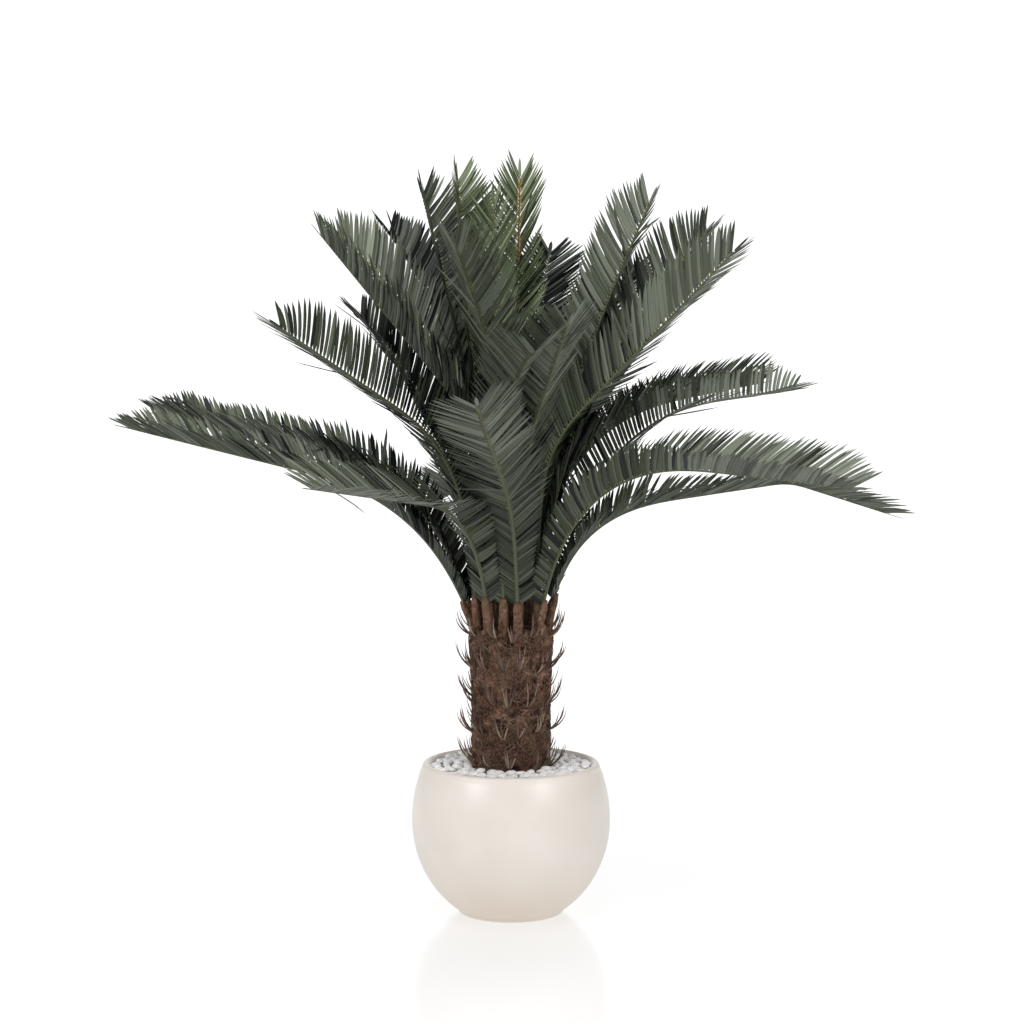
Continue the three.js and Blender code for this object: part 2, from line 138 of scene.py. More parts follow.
def node(material, kind, **inputs):
    """A node with some of its inputs set by name."""
    made = material.node_tree.nodes.new(kind)
    for name, value in inputs.items():
        made.inputs[name.title()].default_value = value
    return made


def link(material, output, target):
    """Joins a node's output to an input."""
    material.node_tree.links.new(output, target)


def set_by(material, socket, output):
    """Drives one of the shader's inputs by a node."""
    link(material, output, material.node_tree.nodes["Principled BSDF"].inputs[socket])


# %% Helpers for patterns
def noise(material, scale, detail, distortion=0.0):
    """Noise on the object's coordinates. Scale is the number of its features per metre, and detail
    how many times it is laid over itself at half the size."""
    place = node(material, "ShaderNodeTexCoord")
    pattern = node(material, "ShaderNodeTexNoise", scale=scale, detail=detail, distortion=distortion)
    link(material, place.outputs["Object"], pattern.inputs["Vector"])
    return pattern.outputs["Fac"]


def ramp(material, value, *stops):
    """A colour ramp over a value, with stops of (position, colour)."""
    made = node(material, "ShaderNodeValToRGB")
    elements = made.color_ramp.elements
    while len(elements) < len(stops):
        elements.new(0.5)
    for element, (position, colour) in zip(elements, stops):
        element.position = position
        element.color = (*colour, 1)
    link(material, value, made.inputs["Fac"])
    return made.outputs["Color"]


def blend_colours(material, share, first, second):
    """The first colour where share is 0 and the second where it is 1."""
    made = material.node_tree.nodes.new("ShaderNodeMix")
    made.data_type = "RGBA"
    link(material, share, made.inputs[0])
    for socket, colour in ((made.inputs[6], first), (made.inputs[7], second)):
        if isinstance(colour, tuple):
            socket.default_value = (*colour, 1)
        else:
            link(material, colour, socket)
    return made.outputs[2]


def multiply(material, share, first, second):
    """The first colour, darkened by the second as far as the share says."""
    made = node(material, "ShaderNodeMix")
    made.data_type, made.blend_type = "RGBA", "MULTIPLY"
    made.inputs[0].default_value = share
    link(material, first, made.inputs[6])
    link(material, second, made.inputs[7])
    return made.outputs[2]


def spread(material, value, low, high):
    """The value, from 0 to 1, carried over to the span from low to high."""
    made = node(material, "ShaderNodeMapRange")
    made.inputs["To Min"].default_value = low
    made.inputs["To Max"].default_value = high
    link(material, value, made.inputs["Value"])
    return made.outputs["Result"]


def give_relief(piece, relief):
    """Stores a number from 0, deep, to 1, proud, at each point, for the material to paint shade by."""
    stored = piece.data.attributes.new("relief", "FLOAT", "POINT")
    stored.data.foreach_set("value", np.clip(relief, 0, 1).ravel())


def roughen(material, height, distance, strength):
    """Bump from a height, whose full range stands for the distance given."""
    made = node(material, "ShaderNodeBump", strength=strength, distance=distance)
    link(material, height, made.inputs["Height"])
    set_by(material, "Normal", made.outputs["Normal"])


# %% [markdown]
# ## The pot
#
# The pot is a bowl of painted fibre clay, wide at the belly and drawn in to a foot and a mouth. Its
# outside is two halves of ellipses that meet at the belly, and its lip is half round. Such a shape is
# turned on a wheel, so it is made the same way: a profile of radius and height is turned about the
# vertical. A lathe keeps it truly round, where a sculpted form would have to be corrected.

# %% The pot's profile
pot_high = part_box("pot")[1]
POT_HEIGHT = pot_high.z
BELLY_RADIUS = pot_high.x
BELLY_HEIGHT = 149 * MM
LOWER_CURVE = 169.5 * MM  # vertical half axis of the ellipse below the belly
UPPER_CURVE = 190 * MM
FOOT_RADIUS = 75 * MM
FOOT_BEVEL = 6 * MM
OUTSIDE_FROM = 9 * MM  # height at which the points of the curved outside begin
POT_WALL = 14 * MM
POLE_RADIUS = 4 * MM  # of the small polygon that closes the profile on its axis
FILLING_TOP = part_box("pot_filling")[1].z
print("the pot is", round(2 * BELLY_RADIUS / MM), "mm wide and", round(POT_HEIGHT / MM), "mm high")


def bowl_radius(height):
    """Outside radius: belly radius times the square root of 1 minus (rise / half axis) squared."""
    rise = height - BELLY_HEIGHT
    half_axis = np.where(rise < 0, LOWER_CURVE, UPPER_CURVE)
    return BELLY_RADIUS * np.sqrt(1 - (rise / half_axis) ** 2)


def bowl_profile():
    """Radius and height from the middle of the underside, round a quarter of an ellipse at the
    foot, up the outside, over the half circle of the lip and down the inside to the filling."""
    foot_rim = bowl_radius(FOOT_BEVEL)
    underside = np.column_stack([np.linspace(POLE_RADIUS, FOOT_RADIUS, 8), np.zeros(8)])
    corner = np.linspace(0.15, 1, 6)[:, None]
    bevel = np.column_stack([
        FOOT_RADIUS + (foot_rim - FOOT_RADIUS) * np.sin(corner * math.pi / 2),
        FOOT_BEVEL * (1 - np.cos(corner * math.pi / 2)),
    ])
    lip_height = POT_HEIGHT - POT_WALL / 2
    heights = np.linspace(OUTSIDE_FROM, lip_height, 52)
    outside = np.column_stack([bowl_radius(heights), heights])
    turn = np.linspace(0, math.pi, 15)[1:]
    lip_middle = bowl_radius(lip_height) - POT_WALL / 2
    lip = np.column_stack([
        lip_middle + POT_WALL / 2 * np.cos(turn),
        lip_height + POT_WALL / 2 * np.sin(turn),
    ])
    down = np.linspace(lip_height - 2 * MM, FILLING_TOP + 1 * MM, 8)
    inside = np.column_stack([bowl_radius(down) - POT_WALL, down])
    inward = np.linspace(inside[-1, 0] - POLE_RADIUS, POLE_RADIUS, 8)
    across = np.column_stack([inward, np.full(8, down[-1])])
    return np.concatenate([underside, bevel, outside, lip, inside, across])


def turned(profile, sides):
    """Points (radius cos a, radius sin a, height), one ring for each point of the profile."""
    angle = np.linspace(0, 2 * math.pi, sides, endpoint=False)
    radius, height = profile[:, :1], profile[:, 1:]
    return np.stack([
        radius * np.cos(angle),
        radius * np.sin(angle),
        np.repeat(height, sides, axis=1),
    ], axis=-1)


# %% [markdown]
# The paint is a warm cream with a satin gloss. It is very slightly mottled, its colour turns a little
# darker and warmer towards the foot, and the coat has the faint unevenness of a sprayed finish,
# which softens the highlights.

# %% Cream paint and the pot
CREAM = (0.87, 0.805, 0.74)
CREAM_SHADED = (0.76, 0.69, 0.615)
CREAM_FOOT = (0.82, 0.715, 0.61)
CREAM_FADE = (130 * MM, 0.0)  # heights between which the cream turns to that of the foot


def height_fade(material, high, low):
    """0 above the one height and 1 below the other, with a smooth change between them."""
    place = node(material, "ShaderNodeTexCoord")
    parts = node(material, "ShaderNodeSeparateXYZ")
    fade = node(material, "ShaderNodeMapRange")
    fade.interpolation_type = "SMOOTHSTEP"
    fade.inputs["From Min"].default_value = low
    fade.inputs["From Max"].default_value = high
    fade.inputs["To Min"].default_value = 1
    fade.inputs["To Max"].default_value = 0
    link(material, place.outputs["Object"], parts.inputs["Vector"])
    link(material, parts.outputs["Z"], fade.inputs["Value"])
    return fade.outputs["Result"]


def cream_paint():
    """Cream with soft clouds of a darker mottle, darker and warmer towards the foot, and a very fine bump.
    """
    paint = new_finish("cream_paint", CREAM, 0.34, specular=0.6, coat=0.3)
    mottle = ramp(paint, noise(paint, 9, 5), (0.35, CREAM_SHADED), (0.62, CREAM))
    cloud = noise(paint, 3.5, 2)
    even = blend_colours(paint, spread(paint, cloud, 0.25, 0.85), mottle, CREAM)
    warmth = height_fade(paint, *CREAM_FADE)
    set_by(paint, "Base Color", blend_colours(paint, warmth, even, CREAM_FOOT))
    set_by(paint, "Roughness", spread(paint, noise(paint, 40, 3), 0.28, 0.40))
    roughen(paint, noise(paint, 260, 3), 0.35 * MM, 0.12)
    return paint


POT_SIDES = 180
bowl = turned(bowl_profile(), POT_SIDES)
bowl_pot = add_piece(
    "bowl_pot",
    bowl,
    [tube_faces(1, len(bowl), POT_SIDES), tube_ends(1, len(bowl), POT_SIDES)],
    cream_paint(),
)
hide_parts("pot")

# %% [markdown]
# ## The filling
#
# Mortar fills the bowl under the pebbles. Its solid has the right shape already and only a little of
# it can be seen in the gaps between the stones, so it stays and gets a finish of its own: grey, dusty
# and flecked with dark grit.

# %% Mortar
def mortar_finish():
    """Grey grit over a coarse bump, without gloss."""
    mortar = new_finish("mortar", (0.12, 0.115, 0.105), 0.95)
    grit = ramp(mortar, noise(mortar, 90, 6), (0.3, (0.045, 0.043, 0.04)), (0.7, (0.2, 0.19, 0.175)))
    set_by(mortar, "Base Color", grit)
    roughen(mortar, noise(mortar, 400, 4), 1 * MM, 0.6)
    return mortar


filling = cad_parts["pot_filling"]
filling.data.materials.clear()
filling.data.materials.append(mortar_finish())
print("the filling keeps its solid, whose top is at", round(FILLING_TOP, 3), "m")

# %% [markdown]
# ## The pebbles
#
# A bed of white river pebbles, most of them 13 to 23 mm long, hides the filling. Each is an egg of
# its own proportions with a few soft dents. They could be dropped by a physics simulation, but only
# the top of the bed shows. So one ball of 54 faces is scaled, dented and turned for all of them at
# once. Two layers are laid in rings, the upper one a little further out, and every stone is moved a
# little from its place, so that no ring shows.

# %% One ball for all stones
PEBBLE_CUTS = 3  # squares along each edge of the cube that the ball is made from
PEBBLE_HALF_LENGTH = (6.8, 11.4)  # mm, from the smallest stone to the largest
PEBBLE_PROPORTIONS = np.array([1, 0.84, 0.68])  # length, width and height
PEBBLE_UNEVEN = (0.88, 1.12)  # what each of the three is multiplied by
DENT_WAVES, DENT_DEPTH = 1.7, 0.055
LYING_DOWN = 0.55  # share of a stone's turned height that is left, so that the stones lie flat


def ball(cuts):
    """Points and quads of a cube whose faces are cut into cuts by cuts squares, pushed out to a
    unit ball."""
    steps = np.tan(np.linspace(-1, 1, cuts + 1) * math.pi / 4)
    a, b = np.meshgrid(steps, steps, indexing="ij")
    one = np.ones_like(a)
    sides = [(one, a, b), (-one, b, a), (b, one, a), (a, -one, b), (a, b, one), (b, a, -one)]
    points = unit(np.concatenate([np.stack(side, -1).reshape(-1, 3) for side in sides]))
    corner = np.arange(cuts)[:, None] * (cuts + 1) + np.arange(cuts)
    quad = np.stack([corner, corner + cuts + 1, corner + cuts + 2, corner + 1], -1).reshape(-1, 4)
    quads = np.concatenate([quad + i * len(points) // 6 for i in range(6)])
    merged, number = np.unique(np.round(points, 9), axis=0, return_inverse=True)
    return merged, number.reshape(-1)[quads]


def turns(count, random):
    """Random rotation matrices: three unit vectors at right angles from two random ones."""
    first = unit(random.normal(size=(count, 3)))
    second = random.normal(size=(count, 3))
    second = unit(second - first * (first * second).sum(1, keepdims=True))
    return np.stack([first, second, np.cross(first, second)], axis=-1)


def stones(places, random):
    """For each place, the ball times its own three half lengths, times 1 plus the sum of three
    waves over its directions, turned at random, flattened and moved there."""
    count = len(places)
    sphere, quads = ball(PEBBLE_CUTS)
    half = random.uniform(*PEBBLE_HALF_LENGTH, (count, 1)) * PEBBLE_PROPORTIONS
    half = half * random.uniform(*PEBBLE_UNEVEN, (count, 3)) * MM
    waves = random.normal(size=(count, 3, 3)) * DENT_WAVES
    phase = random.uniform(0, 2 * math.pi, (count, 1, 3))
    dents = np.sin(np.einsum("vk,ckw->cvw", sphere, waves) + phase).sum(-1, keepdims=True)
    shape = sphere * half[:, None, :] * (1 + DENT_DEPTH * dents)
    lying = turns(count, random)
    lying[:, 2, :] *= LYING_DOWN
    points = np.einsum("cij,cvj->cvi", lying, shape) + places[:, None, :]
    faces = (quads[None] + np.arange(count)[:, None, None] * len(sphere)).reshape(-1, 4)
    return points, faces


# %% The pebble bed
PEBBLE_SPACING = 16.5 * MM
BED_INNER, BED_OUTER = 65 * MM, 117 * MM
PEBBLE_LAYERS = (226 * MM, 234 * MM)
RINGS_PER_LAYER = 4
LAYER_SHIFT = 4 * MM  # outwards, from one layer to the next
PEBBLE_SHIFT = 2.8  # mm, the most that a stone is moved from its ring


def bed_places(random):
    """Rings about a spacing apart in each layer, with as many stones as fit. Each stone is moved by
    up to a sixth of the spacing, and less in height."""
    places = []
    for layer, height in enumerate(PEBBLE_LAYERS):
        for radius in np.linspace(BED_INNER + layer * LAYER_SHIFT, BED_OUTER, RINGS_PER_LAYER):
            count = int(2 * math.pi * radius / PEBBLE_SPACING)
            angle = (np.arange(count) + random.uniform()) * 2 * math.pi / count
            flat_ring = [radius * np.cos(angle), radius * np.sin(angle), np.full(count, height)]
            ring = np.column_stack(flat_ring)
            moved = random.uniform(-PEBBLE_SHIFT, PEBBLE_SHIFT, ring.shape) * MM * [1, 1, 0.6]
            places.append(ring + moved)
    return np.concatenate(places)


# %% White stone
def pebble_finish():
    """White with faint warm clouds and veins, and a fine bump."""
    stone = new_finish("white_pebble", (0.8, 0.8, 0.79), 0.55, specular=0.35)
    shade = ramp(
        stone,
        noise(stone, 55, 2),
        (0.3, (0.86, 0.83, 0.81)),
        (0.42, (0.97, 0.96, 0.95)),
        (0.7, (1.0, 1.0, 1.0)),
    )
    veins = ramp(stone, noise(stone, 160, 6), (0.3, (0.66, 0.60, 0.57)), (0.46, (1, 1, 1)))
    set_by(stone, "Base Color", multiply(stone, 0.3, shade, veins))
    roughen(stone, noise(stone, 420, 4), 0.4 * MM, 0.35)
    return stone


pebble_random = np.random.default_rng(21)
pebble_places = bed_places(pebble_random)
pebble_points, pebble_faces = stones(pebble_places, pebble_random)
pebble_bed = add_piece("pebble_bed", pebble_points, [pebble_faces], pebble_finish())
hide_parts("pebbles")
print(len(pebble_places), "pebbles")

# %% [markdown]
# ## Matted coir
#
# The trunk is a foam core wrapped in coir, the brown fibre of coconut husks. Coir is a felt: strands
# lie over each other in all directions, thick in one place and thin in the next. Its relief is made
# as waves of random height that are filtered to the width and length of a strand, once for each of
# several directions. Filtering by Fourier transform makes the field meet itself round the trunk.

# %% Felt of strands
HIGHEST_OF_SEVEN = 1.35  # the mean of the highest of seven random heights with a spread of 1


def strands(shape, spacing, width, length, direction, random):
    """Random heights on a grid, blurred by a Gaussian of the given width and length whose long way
    is turned by the direction, and scaled to a spread of 1. The blur multiplies each wave by e to
    the power minus 2 pi squared times (waves per metre times blur) squared. Shape is rows by
    columns, and spacing the distance between them."""
    climbing, turning = (np.fft.fftfreq(n, d) for n, d in zip(shape, spacing))
    rise, turn = np.meshgrid(climbing, turning, indexing="ij")
    c, s = math.cos(direction), math.sin(direction)
    lengthwise, across = turn * c + rise * s, rise * c - turn * s
    keep = np.exp(-2 * math.pi**2 * ((lengthwise * length) ** 2 + (across * width) ** 2))
    field = np.fft.ifft2(np.fft.fft2(random.normal(size=shape)) * keep).real
    return (field - field.mean()) / field.std()


def felt(shape, spacing, random, width=0.9 * MM, length=7 * MM, directions=7):
    """The highest of several layers of strands, as in a mat where the top strand hides the rest,
    less the mean for seven layers. With fewer layers the felt lies a little lower."""
    layers = [
        strands(shape, spacing, width, length, math.pi * i / directions, random)
        for i in range(directions)
    ]
    return np.max(layers, axis=0) - HIGHEST_OF_SEVEN


# %% [markdown]
# ## The trunk
#
# The trunk is a little narrower at its foot and swells below the crown. The coir is bound round it in
# bands, so that it bulges softly between the rings of bristles. A displacement modifier could raise
# the felt, but its heights are needed again to paint shade into the hollows. So the surface is a
# cylinder grid whose radius is that outline plus the bulges, the lumps of the wrapping and the felt.

# %% The trunk's outline
TRUNK_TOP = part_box("frond_top_centre")[0].z
TRUNK_FOOT = FILLING_TOP + 0.5 * MM
# share of the height, and radius in mm
TRUNK_OUTLINE = np.array([
    [0, 56], [0.06, 60], [0.25, 61.5], [0.58, 61.5], [0.79, 63.5], [0.925, 66.5], [1, 65],
])
FIRST_BRISTLES = 240 * MM
BRISTLE_STEP = 51 * MM


def trunk_radius(height):
    """The outline's radius at a height, straight between its points."""
    share = (height - TRUNK_FOOT) / (TRUNK_TOP - TRUNK_FOOT)
    return np.interp(share, TRUNK_OUTLINE[:, 0], TRUNK_OUTLINE[:, 1]) * MM


print("the trunk rises from", round(TRUNK_FOOT, 3), "to", round(TRUNK_TOP, 3), "m")

# %% Bark
BARK_ROWS, BARK_COLUMNS = 236, 380
BARK_SPACING = (1.02 * MM, 1.02 * MM)  # between rows and between columns
BARK_SET_IN = 1.2 * MM  # of the felt's mean surface behind the outline
BULGE_HEIGHT, LUMP_HEIGHT, FELT_HEIGHT = 0.8, 0.9, 1.0  # mm
RAGGED_TOP = 20 * MM  # height over which the top edge turns ragged
CROWN_RINGS = np.array([0.9, 0.6, 0.3, 0.05])  # radii of the trunk's top face, as shares of its rim


def bark_grid(random):
    """Rings of radius outline + bulge + lumps + felt, closed by smaller rings at the foot and the
    top. The bulge is a wave that is lowest at each ring of bristles, where the binding pulls the
    coir in."""
    height = np.linspace(TRUNK_FOOT, TRUNK_TOP, BARK_ROWS)[:, None]
    angle = np.linspace(0, 2 * math.pi, BARK_COLUMNS, endpoint=False)[None, :]
    shape = (BARK_ROWS, BARK_COLUMNS)
    bulge = -np.cos(2 * math.pi * (height - FIRST_BRISTLES) / BRISTLE_STEP)
    lumps = strands(shape, BARK_SPACING, 4.5 * MM, 6 * MM, 0.3, random)
    mat = felt(shape, BARK_SPACING, random)
    proud = BULGE_HEIGHT * bulge + LUMP_HEIGHT * lumps + FELT_HEIGHT * mat
    radius = trunk_radius(height) - BARK_SET_IN + proud * MM
    # painted shade: the coir material darkens the felt where this relief is low
    relief = 0.5 + 0.16 * lumps + 0.22 * mat
    top_edge = 3 * MM * strands(shape, BARK_SPACING, 3 * MM, 3 * MM, 0, random)[-1]
    lift = smooth((height - TRUNK_TOP + RAGGED_TOP) / RAGGED_TOP) * (top_edge + 2 * MM)
    rings = np.stack([radius * np.cos(angle), radius * np.sin(angle), height + lift], axis=-1)
    top = rings[-1] * CROWN_RINGS[:, None, None]
    top[..., 2] = TRUNK_TOP + (3 + 2 * mat[:len(top)]) * MM
    foot = rings[:1] * [0.1, 0.1, 1]
    relief = np.concatenate([relief[:1], relief, relief[-len(top):]])
    return np.concatenate([foot, rings, top]), relief


# %% Coir
COIR_RED = (0.170, 0.065, 0.050)
COIR_OLIVE = (0.150, 0.115, 0.060)


def coir_finish():
    """Brown felt with reddish and olive clouds, dark in its hollows and light on its strands. The
    relief that is stored at each point darkens the hollows, which is painted shade."""
    coir = new_finish("coir", (0.13, 0.07, 0.045), 0.9, specular=0.2)
    browns = ramp(
        coir,
        noise(coir, 150, 8, distortion=0.6),
        (0.30, (0.075, 0.041, 0.027)),
        (0.5, (0.185, 0.105, 0.066)),
        (0.70, (0.330, 0.215, 0.150)),
    )
    red_clouds = spread(coir, noise(coir, 28, 4), -0.9, 1.1)
    reddened = blend_colours(coir, red_clouds, browns, COIR_RED)
    olive_clouds = spread(coir, noise(coir, 19, 4), -1.0, 1.0)
    clouded = blend_colours(coir, olive_clouds, reddened, COIR_OLIVE)
    # painted shade: the stored relief darkens the hollows of the felt
    stored = node(coir, "ShaderNodeAttribute")
    stored.attribute_name = "relief"
    shade = ramp(
        coir,
        stored.outputs["Fac"],
        (0.2, (0.16, 0.13, 0.12)),
        (0.55, (0.85, 0.85, 0.85)),
        (0.9, (1, 1, 1)),
    )
    set_by(coir, "Base Color", multiply(coir, 1, clouded, shade))
    roughen(coir, noise(coir, 520, 6, distortion=1.0), 1.2 * MM, 0.7)
    return coir


# %% The wrapped trunk
coir = coir_finish()
bark, bark_relief = bark_grid(np.random.default_rng(7))
trunk_bark = add_piece(
    "trunk_bark",
    bark,
    [tube_faces(1, len(bark), BARK_COLUMNS), tube_ends(1, len(bark), BARK_COLUMNS)],
    coir,
)
give_relief(trunk_bark, bark_relief)
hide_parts("trunk")

# %% [markdown]
# ## Hairs and bristles
#
# Loose hairs lie over the felt, and rings of stiff bristles stand out of it like the stubs of old
# fronds. Both are thin tapered tubes along a curve. A tube needs a frame at each of its stations: its
# direction, and two vectors at right angles to it. All tubes of one kind are worked out together.

# %% Many tapered tubes at once
def tubes_along(paths, radii, sides, flat=1.0):
    """A ring of points round each station of many paths: the station plus its radius times (first
    times cos a + second times sin a times flat). First and second are at right angles to the path
    and to each other."""
    way = unit(np.gradient(paths, axis=1))
    helper = np.where(np.abs(way[..., 2:]) > 0.9, [1.0, 0, 0], [0, 0, 1.0])
    first = unit(np.cross(helper, way))
    second = np.cross(way, first)
    angle = np.linspace(0, 2 * math.pi, sides, endpoint=False)
    ring = (
        first[..., None, :] * np.cos(angle)[:, None]
        + second[..., None, :] * np.sin(angle)[:, None] * flat
    )
    return paths[..., None, :] + ring * radii[..., None, None]


def add_tubes(name, paths, radii, sides, material, flat=1.0):
    """One piece from many tubes."""
    points = tubes_along(paths, radii, sides, flat)
    count, stations = paths.shape[:2]
    faces = [tube_faces(count, stations, sides), tube_ends(count, stations, sides)]
    return add_piece(name, points, faces, material)


def on_trunk(angle, height, stand):
    """A point that stands out from the trunk's outline by a distance."""
    radius = trunk_radius(height) + stand
    return np.stack([radius * np.cos(angle), radius * np.sin(angle), height], axis=-1)


# %% Loose hairs
HAIR_LENGTH = (12 * MM, 34 * MM)
HAIR_SWING = 0.9  # radians, the spread of how far a hair turns along its length
HAIR_STAND = (0.2, 2.6)  # mm, how high the middle of a hair stands off
HAIR_SUNK = 0.6 * MM
HAIR_TAPER = np.array([0.5, 1, 1, 1, 0.9, 0.4])  # radius at each station, as a share


def hair_paths(count, random):
    """Each hair runs over the bark from a random place in a direction that swings as it goes. Its
    height over the bark is stand times sin(pi t), less a little, so that both ends are sunk in."""
    t = np.linspace(0, 1, len(HAIR_TAPER))[None, :]
    length = random.uniform(*HAIR_LENGTH, (count, 1))
    heading = random.uniform(0, math.pi, (count, 1)) + random.normal(0, HAIR_SWING, (count, 1)) * t
    step = length / (len(HAIR_TAPER) - 1)
    around = np.cumsum(np.cos(heading) * step, axis=1)
    climb = np.cumsum(np.sin(heading) * step, axis=1)
    middle = random.uniform(TRUNK_FOOT + 6 * MM, TRUNK_TOP - 4 * MM, (count, 1))
    height = np.clip(middle + climb - climb.mean(1, keepdims=True), TRUNK_FOOT, TRUNK_TOP + 4 * MM)
    angle = random.uniform(0, 2 * math.pi, (count, 1)) + around / trunk_radius(height)
    stand = random.uniform(*HAIR_STAND, (count, 1)) * MM * np.sin(math.pi * t) - HAIR_SUNK
    return on_trunk(angle, height, stand)


def fibre_finish(name, colour, roughness=0.75):
    """Plain colour for thin fibres, whose gloss varies along them."""
    fibre = new_finish(name, colour, roughness, specular=0.3)
    set_by(fibre, "Roughness", spread(fibre, noise(fibre, 300, 3), roughness - 0.15, roughness + 0.15))
    return fibre


# %% Four colours of hair
# number of hairs, colour, and radius in mm
hair_kinds = {
    "dark_hairs": (900, (0.050, 0.028, 0.020), 0.38),
    "brown_hairs": (1700, (0.200, 0.125, 0.085), 0.36),
    "red_hairs": (600, (0.230, 0.095, 0.070), 0.34),
    "pale_hairs": (220, (0.34, 0.25, 0.19), 0.32),
}
hair_random = np.random.default_rng(11)
for hair_name, (count, colour, radius) in hair_kinds.items():
    paths = hair_paths(count, hair_random)
    radii = np.tile(HAIR_TAPER * radius * MM, (count, 1))
    hairs = add_tubes(hair_name, paths, radii, 3, fibre_finish(hair_name, colour))

# %% Bristles
BRISTLE_RINGS = 5
TUFTS_PER_RING = 12
BRISTLE_RISE = (28, 44)  # mm
BRISTLE_STAND = (13, 27)  # mm
BRISTLE_FAN = (4, 10)  # mm, how far the outer bristles of a tuft end to the side of its middle
BRISTLE_TAPER = np.array([2.2, 2.1, 1.95, 1.75, 1.5, 1.2, 0.75, 0.2])  # radius in mm
FAN_RADIUS = 70 * MM  # distance from the trunk's axis at which steps to the side are measured
PALE_SHARE = 0.35


def bristle_paths(random):
    """A tuft of three to five bristles leaves one spot. Each runs out and up, steeper towards its
    point: out by stand times (1 - (1 - t) squared), up by rise times t to the power 1.25, and to
    the side by its place in the fan times t. Its root is sunk in by 2.5 mm."""
    t = np.linspace(0, 1, len(BRISTLE_TAPER))[None, :]
    roots = []
    for ring in range(BRISTLE_RINGS):
        for tuft in range(TUFTS_PER_RING):
            angle = (tuft + ring / 2 + random.normal(0, 0.13)) * 2 * math.pi / TUFTS_PER_RING
            height = FIRST_BRISTLES + ring * BRISTLE_STEP + random.normal(0, 4) * MM
            for side in np.linspace(-1, 1, random.integers(3, 6)):
                roots.append([angle, min(height, TRUNK_TOP - 6 * MM), side])
    angle, height, side = (column[:, None] for column in np.array(roots).T)
    count = len(roots)
    rise = random.uniform(*BRISTLE_RISE, (count, 1)) * MM
    stand = random.uniform(*BRISTLE_STAND, (count, 1)) * MM
    out = stand * (1 - (1 - t) ** 2) - 2.5 * MM * (1 - t)
    up = rise * t**1.25 - 2 * MM
    fan = side * random.uniform(*BRISTLE_FAN, (count, 1)) + random.normal(0, 2, (count, 1))
    swing = angle + (fan * MM * t + side * 1.5 * MM) / FAN_RADIUS
    radius = trunk_radius(height) + out
    return np.stack([radius * np.cos(swing), radius * np.sin(swing), height + up], axis=-1)


# %% Brown and pale bristles
bristle_random = np.random.default_rng(5)
all_bristles = bristle_paths(bristle_random)
pale = bristle_random.uniform(size=len(all_bristles)) < PALE_SHARE
for bristle_name, chosen, colour in (
    ("brown_bristles", ~pale, (0.150, 0.098, 0.074)),
    ("pale_bristles", pale, (0.31, 0.225, 0.17)),
):
    paths = all_bristles[chosen]
    radii = np.tile(BRISTLE_TAPER * MM, (len(paths), 1))
    bristles = add_tubes(bristle_name, paths, radii, 4, fibre_finish(bristle_name, colour, 0.6), 0.6)
